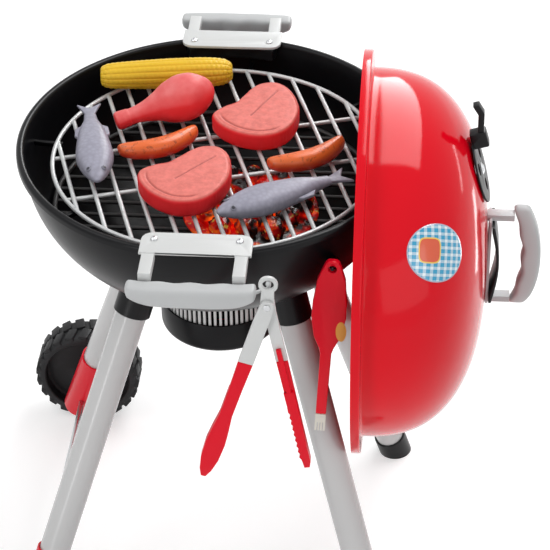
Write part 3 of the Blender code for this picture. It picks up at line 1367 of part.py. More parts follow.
def tongs_hook(rim):
    """The bent hook at the near grip's end that the tongs hang on."""
    start_x = GRIP_LENGTH / 2 - CUT_OVERRUN
    grip_y = GRIP_WIDTH / 2 - GRIP_OUTER_REACH
    low = -GRIP_TOP - GRIP_END_HEIGHT / 2
    inside = peg_point(TONGS_RING, RING_HOLE_RADIUS, YOKE_THICKNESS, -RING_RADIUS)
    tip = peg_point(TONGS_RING, RING_HOLE_RADIUS, YOKE_THICKNESS, RING_RADIUS - HOOK_WIRE_RADIUS)
    bend = (inside[0] - HOOK_WIRE_RADIUS, inside[1], low)
    knee = (inside[0], inside[1], low + 2 * HOOK_WIRE_RADIUS)
    points = [(start_x, grip_y, low), ((start_x + bend[0]) / 2, (grip_y + bend[1]) / 2, low), bend,
              knee, inside, tip]
    return tube("tongs_hook", points, HOOK_WIRE_RADIUS, rim, tool=True)


def upright_plate(name, outlines, near, far, parent, tool=False):
    """A plate in the plane of X and Z, between two places on Y."""
    return plate(name, outlines, abs(far - near), parent, (0, (near + far) / 2, 0), (90, 0, 0), tool)


def strip(shares, start, end, half_width):
    """An outline that hangs down, from half-widths as shares at places along it."""
    left = [(-half_width * width, -start - (end - start) * place) for place, width in shares]
    right = [(half_width * width, -start - (end - start) * place) for place, width in shares]
    return left + right[::-1]


def toothed_strip():
    """The right tip's outline, with teeth along its inner side."""
    shares = strip(RIGHT_TIP_SHARES, ARM_END + FIT_GAP, RIGHT_TIP_END, RIGHT_TIP_HALF_WIDTH)
    count = len(RIGHT_TIP_SHARES)
    left, right = shares[:count], shares[count:]
    teeth = []
    for tooth in range(TOOTH_COUNT):
        for share, depth in ((0.0, 0), (0.5, TOOTH_DEPTH)):
            place = TOOTH_START + (TOOTH_END - TOOTH_START) * (tooth + share) / TOOTH_COUNT
            teeth.append((-RIGHT_TIP_HALF_WIDTH + depth, -place))
    kept = [point for point in left if point[1] > -TOOTH_START]
    end = [point for point in left if point[1] < -TOOTH_END]
    return kept + teeth + end[-1:] + right


def make_tongs_arm(side, arm, outward):
    """One arm of the tongs with its red tip. Outward is -1 in front and 1 behind."""
    near = outward * (YOKE_THICKNESS / 2 + FIT_GAP)
    far = near + outward * ARM_LAYER
    half = LEFT_ARM_HALF_WIDTH if side == "left" else RIGHT_ARM_HALF_WIDTH
    outline = arc((0, 0), EAR_RADIUS, 0, 180, EAR_POINTS)
    outline += [(-half, -2 * EAR_RADIUS), (-half, -ARM_END), (half, -ARM_END), (half, -2 * EAR_RADIUS)]
    hole = circle((0, 0), PIN_HOLE_RADIUS, PIN_STEPS)
    finish(upright_plate("tongs_arm_" + side, [outline, hole], near, far, arm), WHITE_PLASTIC)

    if side == "left":
        tip_outline = strip(LEFT_TIP_SHARES, ARM_END + FIT_GAP, LEFT_TIP_END, LEFT_TIP_HALF_WIDTH)
    else:
        tip_outline = toothed_strip()
    tip = upright_plate("tongs_tip_" + side, [tip_outline], -near, far, arm)
    back = near - outward * 2 * FIT_GAP
    front = -near - outward * CUT_OVERRUN
    relief = placed((0, (back + front) / 2, -DEEP_START / 2),
                    (DEEP_START, abs(back - front), DEEP_START))
    cut(tip, boxes(side + "_tip_relief", [relief], arm, tool=True))
    length = TONGUE_END - TONGUE_START
    tongue = placed((0, 0, -TONGUE_START - length / 2), (2 * TONGUE_HALF_WIDTH, YOKE_THICKNESS, length))
    join(tip, boxes(side + "_tip_tongue", [tongue], arm, tool=True))
    finish(tip, RED_PLASTIC)


def make_tongs(rim):
    """The yoke with its hanging ring, the pin, and the two arms."""
    tongs = frame("tongs", rim, TONGS_RING, (0, TONGS_TILT, 0))
    outline = arc((0, 0), RING_RADIUS, -YOKE_NECK_ANGLE, 180 + YOKE_NECK_ANGLE, RING_POINTS)
    outline += arc((0, -PIVOT_DROP), EAR_RADIUS, 180, 360, EAR_POINTS)
    holes = [circle((0, 0), RING_HOLE_RADIUS, RING_POINTS),
             circle((0, -PIVOT_DROP), PIN_HOLE_RADIUS, PIN_STEPS)]
    yoke = upright_plate("tongs_yoke", [outline] + holes, -YOKE_THICKNESS / 2, YOKE_THICKNESS / 2, tongs)
    finish(yoke, WHITE_PLASTIC)

    half = YOKE_THICKNESS / 2 + 2 * FIT_GAP + ARM_LAYER
    top = half + PIN_HEAD
    profile = [(0, top), (PIN_HEAD_RADIUS, top), (PIN_HEAD_RADIUS, half), (PIN_RADIUS, half),
               (PIN_RADIUS, -half), (PIN_HEAD_RADIUS, -half), (PIN_HEAD_RADIUS, -top), (0, -top)]
    finish(turned("tongs_pin", profile, PIN_STEPS, tongs, (0, 0, -PIVOT_DROP), (90, 0, 0)), STEEL)

    left = frame("tongs_left_hinge", tongs, (0, 0, -PIVOT_DROP), (0, TONGS_OPENING, 0))
    right = frame("tongs_right_hinge", tongs, (0, 0, -PIVOT_DROP), (0, -TONGS_OPENING, 0))
    make_tongs_arm("left", left, -1)
    make_tongs_arm("right", right, 1)


def make_brush(rim):
    """The brush's handle with its hole, and its pale tip cut into a few strands."""
    brush = frame("brush", rim, BRUSH_HOLE, (0, BRUSH_TILT, 0))
    outline = strip(BRUSH_SHARES, -BRUSH_HOLE_PLACE, BRUSH_LENGTH - BRUSH_HOLE_PLACE, BRUSH_HALF_WIDTH)
    hole = circle((0, 0), BRUSH_HOLE_RADIUS, PIN_STEPS)
    half = BRUSH_THICKNESS / 2
    handle = upright_plate("brush_handle", [outline, hole], -half, half, brush)
    end = BRUSH_HOLE_PLACE - BRUSH_LENGTH
    bore = [((0, 0, end - CUT_OVERRUN), (0, 0, end + BRUSH_STEM_LENGTH + FIT_GAP))]
    cut(handle, rods("brush_stem_hole", bore, BRUSH_STEM_RADIUS + FIT_GAP, brush, SCREW_STEPS,
                     tool=True))
    finish(handle, RED_PLASTIC)

    top = end - FIT_GAP
    body = placed((0, 0, top - BRUSH_TIP_LENGTH / 2), (BRUSH_TIP_WIDTH, BRUSH_THICKNESS, BRUSH_TIP_LENGTH))
    tip = boxes("brush_tip", [body], brush)
    pitch = BRUSH_TIP_WIDTH / (BRUSH_TIP_SLOTS + 1)
    slots = []
    for index in range(BRUSH_TIP_SLOTS):
        x = pitch * (index + 1) - BRUSH_TIP_WIDTH / 2
        slots.append(placed((x, 0, top - BRUSH_TIP_LENGTH),
                            (BRUSH_TIP_SLOT, 2 * BRUSH_THICKNESS, BRUSH_TIP_LENGTH)))
    cut(tip, boxes("brush_tip_slots", slots, brush, tool=True))
    stem = [((0, 0, top - BRUSH_STEM_LENGTH / 2), (0, 0, top + BRUSH_STEM_LENGTH))]
    join(tip, rods("brush_stem", stem, BRUSH_STEM_RADIUS, brush, SCREW_STEPS, tool=True))
    finish(tip, TIP_FINISH)


def food_level():
    """The height of the food's undersides on the cooking grate."""
    return -GRATE_DEPTH + GRATE_WIRE_RADIUS + FIT_GAP


def food_frame(name, rim, place, turn, height):
    """A frame for a piece of food, at shares of the grate's radius."""
    spot = (place[0] * GRATE_RADIUS, place[1] * GRATE_RADIUS, food_level() + height)
    return frame(name + "_place", rim, spot, (0, 0, turn))


def make_corn(rim):
    """The corn cob, lying along its frame's X axis."""
    place = food_frame("corn", rim, CORN_PLACE_SHARE, CORN_TURN, CORN_RADIUS)
    side = [(CORN_RADIUS * r, CORN_HALF_LENGTH * s) for s, r in CORN_SHARES[::-1]]
    profile = [(0, CORN_HALF_LENGTH)] + side + [(0, -CORN_HALF_LENGTH)]
    return finish(turned("corn", profile, FOOD_STEPS, place, rotation=(0, 90, 0)), CORN_FINISH)


def make_drumstick(rim):
    """The drumstick, its bone end lower than its meat."""
    height = DRUMSTICK_RADIUS * DRUMSTICK_SETTLE_SHARE
    place = food_frame("drumstick", rim, DRUMSTICK_PLACE_SHARE, DRUMSTICK_TURN, height)
    start = DRUMSTICK_BODY_SHARE
    side = [(DRUMSTICK_RADIUS * r, DRUMSTICK_LENGTH * (s - start)) for s, r in DRUMSTICK_SHARES[::-1]]
    top, bottom = DRUMSTICK_LENGTH * (1 - start), -DRUMSTICK_LENGTH * start
    profile = [(0, top)] + side + [(0, bottom)]
    turn = (0, 90 - DRUMSTICK_TILT, 0)
    return finish(turned("drumstick", profile, FOOD_STEPS, place, rotation=turn), DRUMSTICK_FINISH)


def make_steak(name, rim, place_share, turn):
    """A steak, flat on the grate."""
    place = food_frame(name, rim, place_share, turn, STEAK_THICKNESS / 2)
    outline = [(STEAK_HALF_LENGTH * x, STEAK_HALF_WIDTH * y) for x, y in STEAK_SHARES]
    steak = plate(name, [outline], STEAK_THICKNESS, place)
    return finish(bevel(steak, STEAK_EDGE), STEAK_FINISH)


def make_sausage(name, rim, place_share, turn):
    """A slightly bent sausage with round ends."""
    place = food_frame(name, rim, place_share, turn, SAUSAGE_RADIUS)
    points, shares = [], []
    for station in range(SAUSAGE_STATIONS + 1):
        a = math.pi * station / SAUSAGE_STATIONS
        share = -math.cos(a)
        points.append((SAUSAGE_HALF_LENGTH * share, SAUSAGE_SAGITTA * (share ** 2 - 0.5), 0))
        shares.append(max(math.sin(a) ** SAUSAGE_END_POWER, SAUSAGE_END_SHARE))
    return finish(tube(name, points, SAUSAGE_RADIUS, place, shares), SAUSAGE_FINISH)


def make_fish(name, rim, place_share, turn, sink=0.0):
    """A fish on its belly, with side fins and a forked tail in one flat web."""
    place = food_frame(name, rim, place_share, turn, FISH_HALF_HEIGHT - sink)
    rings = []
    for along, wide, high in FISH_BODY_SHARES:
        section = rounded_section(FISH_HALF_WIDTH * wide, FISH_HALF_HEIGHT * high,
                                  FISH_SECTION_POWER, FISH_RING_POINTS)
        rings.append([Vector((FISH_LENGTH * along, y, z)) for y, z in section])
    fish = loft(name, rings, place)
    left = [(FISH_LENGTH * x, FISH_HALF_WIDTH * y) for x, y in FISH_FIN_SHARES]
    right = [(x, -y) for x, y in left[::-1]]
    outline = left + right + [(FISH_LENGTH * FISH_NOTCH_SHARE, 0)]
    fins = plate(name + "_fins", [outline], FISH_FIN_THICKNESS, place, tool=True)
    join(fish, fins)
    return finish(fish, FISH_FINISH)


def make_food(rim):
    """All the play food on the cooking grate."""
    make_corn(rim)
    make_drumstick(rim)
    make_steak("steak_left", rim, LEFT_STEAK_PLACE_SHARE, LEFT_STEAK_TURN)
    make_steak("steak_right", rim, RIGHT_STEAK_PLACE_SHARE, RIGHT_STEAK_TURN)
    make_sausage("sausage_left", rim, LEFT_SAUSAGE_PLACE_SHARE, LEFT_SAUSAGE_TURN)
    make_sausage("sausage_right", rim, RIGHT_SAUSAGE_PLACE_SHARE, RIGHT_SAUSAGE_TURN)
    make_fish("fish_left", rim, LEFT_FISH_PLACE_SHARE, LEFT_FISH_TURN, LEFT_FISH_SINK)
    make_fish("fish_right", rim, RIGHT_FISH_PLACE_SHARE, RIGHT_FISH_TURN)


def main():
    """Builds the grill, centred between the wheels' and the lid grip's outermost points."""
    clear_scene()
    left_end = axle_place()[0] - WHEEL_RADIUS
    right_end = LID_FRAME[0] + LID_GRIP_REACH
    rim = frame("bowl_rim", location=(-(left_end + right_end) / 2, 0, RIM_HEIGHT))
    handles = handle_frames(rim)
    bowl_cutter = make_bowl_cutter(rim)
    make_bowl(rim, handles)
    for side, handle in handles.items():
        make_handle_bracket(side, handle)
        make_handle_screws(side, handle)
    make_grip("handle_grip_far", handles["far"])
    make_grip("handle_grip_near", handles["near"], hook=tongs_hook(rim))
    make_legs(rim, bowl_cutter)

    axle_x, axle_z = axle_place()
    near_wheel = frame("near_wheel", rim, (axle_x, -WHEEL_REACH, axle_z), (90, 0, 0))
    far_wheel = frame("far_wheel", rim, (axle_x, WHEEL_REACH, axle_z), (-90, 0, 0))
    make_wheel("near", near_wheel)
    make_wheel("far", far_wheel)
    make_axle(rim)

    make_collar(rim, bowl_cutter)
    make_ash_dish(rim)
    make_battery_box(rim)
    make_light_button(rim)
    make_lamp_board(rim)
    make_charcoal_grate(rim)
    make_coals(rim)
    make_cooking_grate(rim)

    lid = frame("lid", rim, LID_FRAME, (0, 90, 0))
    vent_spot = (-VENT_PLACE, 0, lid_height(VENT_PLACE))
    vent = frame("vent", lid, vent_spot, (0, -lid_tilt(VENT_PLACE), 0))
    lid_hollow, lid_solid = make_lid_skin_cutters(lid)
    make_lid(lid, vent)
    make_lid_hook(rim, lid_hollow)
    make_vent(vent)
    make_lid_handle(lid, lid_solid)

    make_tongs(rim)
    make_brush(rim)
    make_food(rim)


main()
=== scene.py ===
"""Toy barbecue grill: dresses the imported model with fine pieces, finishes, floor, light and camera."""

import math

import bmesh
import bpy
from bpy.props import FloatProperty, FloatVectorProperty, IntProperty, PointerProperty
from bpy.types import Operator, Panel, PropertyGroup
from mathutils import Matrix, Vector, noise


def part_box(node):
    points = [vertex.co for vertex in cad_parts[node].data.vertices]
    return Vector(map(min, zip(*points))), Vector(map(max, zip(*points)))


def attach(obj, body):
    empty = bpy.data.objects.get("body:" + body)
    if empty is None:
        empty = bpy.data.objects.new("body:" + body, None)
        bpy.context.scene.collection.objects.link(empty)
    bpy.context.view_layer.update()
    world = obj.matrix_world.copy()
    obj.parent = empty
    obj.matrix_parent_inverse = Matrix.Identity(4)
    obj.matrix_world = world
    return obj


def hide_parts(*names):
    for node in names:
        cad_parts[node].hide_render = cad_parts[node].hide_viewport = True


bl_info = {
    "name": "Toy Barbecue Grill",
    "version": (1, 0, 0),
    "blender": (4, 5, 0),
    "location": "3D View > Sidebar > Grill",
    "description": "Builds the pieces, finishes and studio of a toy barbecue grill",
    "category": "Add Mesh",
}

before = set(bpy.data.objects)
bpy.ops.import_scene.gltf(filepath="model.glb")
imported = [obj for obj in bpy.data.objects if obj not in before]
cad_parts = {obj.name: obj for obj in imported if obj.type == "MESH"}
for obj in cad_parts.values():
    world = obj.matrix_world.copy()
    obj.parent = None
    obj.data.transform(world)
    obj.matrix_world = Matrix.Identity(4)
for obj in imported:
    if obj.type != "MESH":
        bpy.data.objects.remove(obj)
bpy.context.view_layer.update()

# Places that the frame gives
BOWL_LOW, BOWL_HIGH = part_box("bowl")
RIM = Matrix.Translation(((BOWL_LOW.x + BOWL_HIGH.x) / 2, 0, BOWL_HIGH.z))
LID_LOW, LID_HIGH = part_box("lid_shell")
WELD = 1e-6
GAP = 0.0003
HOOK_WIRE = 0.0016
HOOK_SLOPE = math.radians(25)


# Settings

def length(name, default, description):
    """A size in metres."""
    return FloatProperty(name=name, default=default, description=description, min=0.0,
                         soft_max=1.0, precision=4, subtype='DISTANCE', unit='LENGTH')


def place(name, default, description):
    """A place or a way in metres."""
    return FloatVectorProperty(name=name, default=default, description=description, size=3,
                               precision=4, subtype='TRANSLATION', unit='LENGTH')


def degrees(name, default, description):
    """An angle, given in degrees."""
    return FloatProperty(name=name, default=math.radians(default), description=description,
                         subtype='ANGLE', unit='ROTATION')


def share(name, default, description):
    """A share of another size."""
    return FloatProperty(name=name, default=default, description=description, subtype='FACTOR',
                         soft_min=0.0, soft_max=1.0)


def level(name, default, description):
    """A strength, a power or a lens."""
    return FloatProperty(name=name, default=default, description=description)


def run(name, default, description):
    """A run in X and Y for each unit of drop."""
    return FloatVectorProperty(name=name, default=default, description=description, size=2)


def number(name, default, description):
    """A count of pieces or steps."""
    return IntProperty(name=name, default=default, description=description, min=1)


def colour(name, default, description):
    """A colour, in linear light."""
    return FloatVectorProperty(name=name, default=default, description=description, size=3,
                               min=0.0, max=1.0, subtype='COLOR')


class BowlSettings(PropertyGroup):
    """Sizes of the bowl."""
    radius: length("Radius", 0.172, "Inner radius under the rim")
    depth: length("Depth", 0.138, "Depth that the wall's curve reaches")
    power: level("Fullness", 2.15, "Power of the wall's curve")
    wall: length("Wall", 0.002, "Thickness of the wall")
    floor_radius: length("Floor", 0.040, "Radius of the flat floor")
    lead_hole: length("Lead hole", 0.008, "Radius of the hole for the leads")
    roll: length("Rim roll", 0.0035, "Radius of the rolled rim")
    skirt: length("Rim skirt", 0.0035, "Drop below the rolled rim")
    ledge_depth: length("Ledge", 0.014, "How far a handle's ledge reaches in")
    ledge_height: length("Ledge height", 0.012, "Height of a handle's ledge")
    ledge_angle: degrees("Ledge angle", 14.7, "Half the angle that a ledge covers")
    pegs: number("Grate pegs", 8, "Pegs that carry the cooking grate")
    peg_angle: degrees("First peg", 173.5, "Place of the first peg round the rim")
    peg_width: length("Peg width", 0.004, "Width of a peg")
    peg_height: length("Peg height", 0.0045, "Height of a peg")
    hook_aside: share("Hook aside", 0.657, "Brush's hole beside the axis, in radii of the bowl")
    hook_out: share("Hook out", 0.884, "Brush's hole in front of the axis, in radii of the bowl")
    hook_drop: length("Hook drop", 0.030, "Brush's hole below the rim")
    hook_foot: length("Hook foot", 0.005, "Radius of the foot of the brush's hook")
    foot_length: length("Foot length", 0.012, "Length of the foot of the brush's hook")
    brush_hole: length("Brush hole", 0.0036, "Radius of the brush's hole")
    brush_thickness: length("Brush", 0.006, "Thickness of the brush at its hole")


class HandleSettings(PropertyGroup):
    """Sizes of the grips and their screws."""
    grip_length: length("Grip length", 0.1076, "Length of a grip")
    grip_width: length("Grip width", 0.0185, "Width of a grip")
    grip_reach: length("Reach", 0.231, "Outer side of a side grip from the bowl's axis")
    grip_top: length("Grip top", 0.0023, "Top of a side grip below the rim")
    grip_height: length("Grip height", 0.0183, "Height of a grip at its middle")
    grip_end_height: length("Grip end", 0.0097, "Height of a grip at its ends")
    grip_bow: length("Bow", 0.004, "How far the ends are set back")
    wave: length("Finger waves", 0.0022, "Depth of the waves for the fingers")
    edge: length("Plate edge", 0.0007, "Rounding of the plates' edges")
    screw_place: length("Screws", 0.036, "Distance of a screw from the handle's middle")
    screw_reach: length("Screw reach", 0.164, "Distance of the screws from the bowl's axis")
    screw_radius: length("Screw head", 0.0032, "Radius of a screw's head")
    screw_height: length("Head height", 0.0018, "Height of a screw's head")
    ring_hole: length("Ring hole", 0.0048, "Radius of the hole in the tongs' ring")
    ring_thickness: length("Ring", 0.003, "Thickness of the tongs' ring")
    ring_aside: length("Ring aside", 0.0102, "Ring's middle beside the near grip's end")
    ring_reach: length("Ring reach", 0.2225, "Ring's middle from the bowl's axis")
    ring_rise: length("Ring rise", 0.003, "Ring's middle above the rim")
    hook_reach: length("Hook reach", 0.008, "How far the tongs' hook goes to each side of the ring")


class LegSettings(PropertyGroup):
    """Sizes of the legs and of what they are pushed into."""
    radius: length("Tube radius", 0.0145, "Radius of a leg")
    wall: length("Tube wall", 0.0015, "Wall of a leg")
    depth: length("Reference depth", 0.150, "Depth below the rim at which the legs' places are given")
    spread_x: length("Spread in X", 0.075508, "Leg's distance from the axis in X at that depth")
    spread_y: length("Spread in Y", 0.0731, "Leg's distance from the axis in Y at that depth")
    left_slope: run("Left slope", (-0.330, 0.320), "A left leg's run in X and Y for each unit of drop")
    right_slope: run("Right slope", (0.263, 0.242), "A right leg's run in X and Y for each unit of drop")
    top: length("Top", 0.128, "Depth of a leg's upper end")
    left_end: length("Left end", 0.466, "Depth of a left leg's lower end")
    right_end: length("Right end", 0.4915, "Depth of a right leg's lower end")
    socket_top: length("Socket top", 0.100, "Depth at which a socket starts inside the bowl's skin")
    socket_mouth: length("Socket mouth", 0.147, "Depth of a socket's mouth")
    socket_wall: length("Socket wall", 0.0024, "Wall of a socket")
    sleeve_top: length("Sleeve top", 0.378, "Depth of a sleeve's mouth")
    sleeve_wall: length("Sleeve wall", 0.0020, "Wall of a sleeve")
    sleeve_end: length("Sleeve end", 0.003, "Thickness of a sleeve's closed end")
    foot_height: length("Foot height", 0.026, "Height of a foot cap's mouth above the floor")
    foot_wall: length("Foot wall", 0.0018, "Wall of a foot cap")


class WheelSettings(PropertyGroup):
    """Sizes of the wheels."""
    radius: length("Radius", 0.057, "Radius over the lugs")
    width: length("Width", 0.035, "Width of the tread")
    reach: length("Reach", 0.208, "Distance of a wheel's middle from the bowl's axis")
    web: length("Web", 0.006, "Thickness of the disc between hub and tread")
    recess: length("Recess", 0.046, "Radius of the recessed disc")
    hub: length("Hub", 0.0105, "Radius of the hub")
    hub_inside: length("Hub inside", 0.020, "Reach of the hub towards the leg")
    hub_outside: length("Hub outside", 0.010, "Reach of the hub past the disc")
    lugs: number("Lugs", 22, "Lugs in each of the two rows of the tread")
    lug_depth: length("Lug depth", 0.0028, "Height of a lug")
    axle: length("Axle", 0.003, "Radius of the axle")
    cap: length("Cap", 0.0075, "Radius of an axle cap")


class DishSettings(PropertyGroup):
    """Sizes of the collar and the ash dish."""
    radius: length("Dish", 0.0555, "Inner radius of the dish")
    wall: length("Dish wall", 0.0015, "Wall of the dish")
    rim: length("Dish rim", 0.1723, "Depth of the dish's rim below the bowl's rim")
    height: length("Dish height", 0.0301, "Height of the dish inside")
    corner: length("Dish corner", 0.005, "Rounding of the dish's lower edge")
    hole: length("Button hole", 0.006, "Radius of the hole for the light's button")
    collar_wall: length("Collar wall", 0.0022, "Wall of the collar")
    collar_room: length("Collar room", 0.008, "Height above the bowl's floor at which the collar starts")
    teeth: number("Teeth", 68, "Teeth between the collar's slots")
    slots: length("Slots", 0.1492, "Depth at which the collar's slots start")
    slot_height: length("Slot height", 0.030, "Height of the slots")


class GrateSettings(PropertyGroup):
    """Sizes of the two grates and the coal."""
    radius: length("Radius", 0.1477, "Radius of the cooking grate's ring")
    depth: length("Depth", 0.020, "Depth of the cooking grate below the rim")
    wire: length("Wire", 0.0020, "Radius of the cooking grate's wires")
    turn: degrees("Turn", -72.7, "Turn of the cooking grate's bars")
    pitch: length("Pitch", 0.019393, "Distance between the bars")
    bars: number("Bars each side", 7, "Bars on each side of the middle bar")
    cross_place: length("Cross bars", 0.034, "Distance of the cross bars from the middle")
    cross_drop: length("Cross drop", 0.0030, "How far the cross bars lie under the bars")
    coal_wire: length("Coal ring", 0.0025, "Radius of the charcoal grate's ring wire")
    coal_bar: length("Coal bar", 0.0020, "Radius of the charcoal grate's bars")
    coal_pitch: share("Coal pitch", 0.132, "Distance between its bars, as a share of its radius")
    tray_radius: length("Tray", 0.062, "Radius of the coals' tray")
    tray_thickness: length("Tray thickness", 0.003, "Thickness of the coals' tray")
    lump: length("Lump", 0.0112, "Radius of a lump of coal")
    lump_pitch: length("Lump pitch", 0.0235, "Distance between the lumps")
    lump_room: length("Lump room", 0.0105, "Room from a lump's middle to the tray's edge")
    coal_bars: number("Coal bars each side", 7, "Bars of the charcoal grate on each side of its middle")


class LidSettings(PropertyGroup):
    """Sizes of the lid and its vent."""
    at: place("Place", (0.1365, 0.0, -0.122), "Centre of the lid's flange from the rim's centre")
    radius: length("Radius", 0.171, "Radius of the lid")
    depth: length("Depth", 0.1118, "Depth of the lid")
    power: level("Fullness", 2.61, "Power of the lid's curve")
    wall: length("Wall", 0.0018, "Thickness of the lid")
    flange: length("Flange", 0.187, "Radius of the flange")
    band: length("Band", 0.0083, "Height of the flange's band")
    vent_place: length("Vent", 0.096, "Distance of the vent from the lid's axis")
    hole: length("Vent holes", 0.006, "Radius of the vent's holes")
    hole_place: length("Hole place", 0.017, "Distance of the holes from the rivet")
    sticker_at: place("Sticker", (0.2015, -0.124, -0.0312), "Middle of the sticker from the rim's centre")
    sticker_long: length("Sticker length", 0.0315, "Half the sticker's longer size")
    sticker_short: length("Sticker width", 0.0254, "Half the sticker's shorter size")
    grip_reach: length("Grip reach", 0.1612, "Outer side of the grip above the flange")
    grip_bend: length("Grip bend", 0.009, "How far the grip's ends are nearer to the lid")


class FoodSettings(PropertyGroup):
    """Sizes and places of the play food."""
    corn_half: length("Corn", 0.062, "Half the corn's length")
    corn_radius: length("Corn radius", 0.0145, "Radius of the corn")
    corn_rows: number("Kernel rows", 14, "Rows of kernels round the corn")
    corn_rings: number("Kernel rings", 27, "Kernels along the corn")
    corn_relief: length("Kernel relief", 0.0010, "Depth between the kernels")
    leg_length: length("Drumstick", 0.096, "Length of the drumstick")
    leg_radius: length("Drumstick radius", 0.0225, "Largest radius of the drumstick")
    leg_tilt: degrees("Drumstick tilt", 10.8, "How far its bone end is lower")
    steak_long: length("Steak", 0.049, "Half the steak's length")
    steak_wide: length("Steak width", 0.041, "Half the steak's width")
    steak_height: length("Steak height", 0.020, "Thickness of the steak")
    sausage_radius: length("Sausage radius", 0.0095, "Radius of a sausage")
    sausage_half: length("Sausage", 0.0385, "Half the sausage's length")
    sausage_bend: length("Sausage bend", 0.012, "Sagitta of the sausage's bend")
    fish_length: length("Fish", 0.130, "Length of a fish")
    fish_wide: length("Fish width", 0.0168, "Half the fish's width")
    fish_high: length("Fish height", 0.011, "Half the fish's height")


class ColourSettings(PropertyGroup):
    """Colours of the finishes."""
    black: colour("Black", (0.005, 0.005, 0.006), "Bowl, dish, sockets and damper")
    tread: colour("Wheel black", (0.008, 0.008, 0.009), "Wheels")
    white: colour("White", (0.68, 0.69, 0.685), "Handle plates, collar and tongs")
    tube: colour("Tube grey", (0.61, 0.61, 0.61), "Legs")
    grip: colour("Grip grey", (0.53, 0.54, 0.545), "Grips")
    arm: colour("Arm grey", (0.50, 0.51, 0.52), "Arms of the lid's grip")
    red: colour("Red", (0.80, 0.001, 0.012), "Lid")
    cup: colour("Utensil red", (0.80, 0.002, 0.018), "Sleeves, jaws and brush")
    wire: colour("Wire grey", (0.66, 0.67, 0.67), "Cooking grate")
    coal_wire: colour("Lower wire", (0.035, 0.035, 0.035), "Charcoal grate")
    steel: colour("Steel", (0.56, 0.57, 0.58), "Screws, axle, rivet and pin")
    corn: colour("Corn", (0.88, 0.57, 0.035), "Corn")
    # The drumstick's red; in the finish, its faces that look up get a paler painted-light copy.
    drumstick: colour("Drumstick", (0.90, 0.036, 0.042), "Drumstick's sides")
    # The steaks' top red is a paler, painted-light copy of their side red.
    meat: colour("Steak top", (0.71, 0.180, 0.150), "Steaks' tops")
    crust: colour("Steak side", (0.86, 0.022, 0.028), "Steaks' sides")
    sausage: colour("Sausage", (0.85, 0.160, 0.030), "Sausages")
    fish: colour("Fish", (0.28, 0.275, 0.335), "Fish")
    brush_tip: colour("Brush tip", (0.74, 0.72, 0.64), "Brush tip")
    dot: colour("Oval", (0.86, 0.42, 0.05), "Oval on the brush")
    board: colour("Board green", (0.03, 0.20, 0.07), "Lamp board")
    cell: colour("Cell grey", (0.10, 0.11, 0.13), "Battery cells")


class StudioSettings(PropertyGroup):
    """Camera, light and floor."""
    camera_at: place("Camera", (0.1807, -1.5920, 1.0319), "Camera's place from the rim's centre")
    camera_back: place("View", (0.0649, -0.8006, 0.5957), "Way from the object to the camera")
    roll: degrees("Roll", -0.8277, "Camera's roll")
    lens: level("Lens", 138.57, "Focal length in millimetres")
    floor: colour("Floor", (0.72, 0.72, 0.72), "Floor")
    floor_glow: level("Floor glow", 0.46, "What lifts the seen floor to white")
    far_glow: level("Far glow", 0.76, "The same, far from the object")
    sky: level("Sky", 0.36, "Strength of the even light")
    key: level("Key", 3.8, "Brightness of the overhead screen")
    shine: level("Shine", 2.8, "How much brighter the screen is mirrored")
    fill: level("Fill", 1.4, "Brightness of the front panel")
    top: level("Top", 2.5, "Brightness of the panel above the left side")
    side: level("Side", 5.0, "Brightness of the strip at the left")
    edge: level("Edge", 6.0, "Brightness of the strips behind")


class GrillSettings(PropertyGroup):
    """All settings of the grill."""
    bowl: PointerProperty(type=BowlSettings)
    handles: PointerProperty(type=HandleSettings)
    legs: PointerProperty(type=LegSettings)
    wheels: PointerProperty(type=WheelSettings)
    dish: PointerProperty(type=DishSettings)
    grates: PointerProperty(type=GrateSettings)
    lid: PointerProperty(type=LidSettings)
    food: PointerProperty(type=FoodSettings)
    colours: PointerProperty(type=ColourSettings)
    studio: PointerProperty(type=StudioSettings)


# Outlines

def quarter(radius, depth, power, start, end, count):
    """Points of a quarter of a rounded curve: radii and depths between two angles."""
    points = []
    for step in range(count + 1):
        a = start + (end - start) * step / count
        points.append((radius * max(math.cos(a), 0) ** (2 / power),
                       -depth * max(math.sin(a), 0) ** (2 / power)))
    return points


def arc(centre, radius, start, end, count):
    """Points of an arc between two angles in degrees."""
    angles = [math.radians(start + (end - start) * step / count) for step in range(count + 1)]
    return [(centre[0] + radius * math.cos(a), centre[1] + radius * math.sin(a)) for a in angles]


def beside(points, distance):
    """A line of points moved to its right by a distance."""
    moved = []
    for index, (x, y) in enumerate(points):
        before, after = points[max(index - 1, 0)], points[min(index + 1, len(points) - 1)]
        way = Vector((after[0] - before[0], after[1] - before[1])).normalized()
        moved.append((max(x + way.y * distance, 0), y - way.x * distance))
    return moved


def walled(points, distance):
    """A closed outline: a line of points and the same line beside it."""
    return points + beside(points, distance)[::-1]


def flowing(points, count, closed=False):
    """More points on a smooth curve through the given ones."""
    total = len(points)
    spans = total if closed else total - 1
    made = []
    for span in range(spans):
        picked = []
        for index in range(span - 1, span + 3):
            index = index % total if closed else min(max(index, 0), total - 1)
            picked.append(Vector(points[index]))
        p0, p1, p2, p3 = picked
        for step in range(count):
            t = step / count
            made.append(0.5 * (2 * p1 + (p2 - p0) * t + (2 * p0 - 5 * p1 + 4 * p2 - p3) * t ** 2
                               + (3 * p1 - p0 - 3 * p2 + p3) * t ** 3))
    if not closed:
        made.append(Vector(points[-1]))
    return made


# Shapes

def turned(axis, angle):
    """A turn about an axis, in degrees."""
    return Matrix.Rotation(math.radians(angle), 4, axis)


def aimed(way):
    """A turn that brings Z to a way."""
    return Vector(way).to_track_quat('Z', 'Y').to_matrix().to_4x4()


def welded(part):
    """Merges the points of a shape that lie on one another."""
    bmesh.ops.remove_doubles(part, verts=part.verts, dist=WELD)
    return part


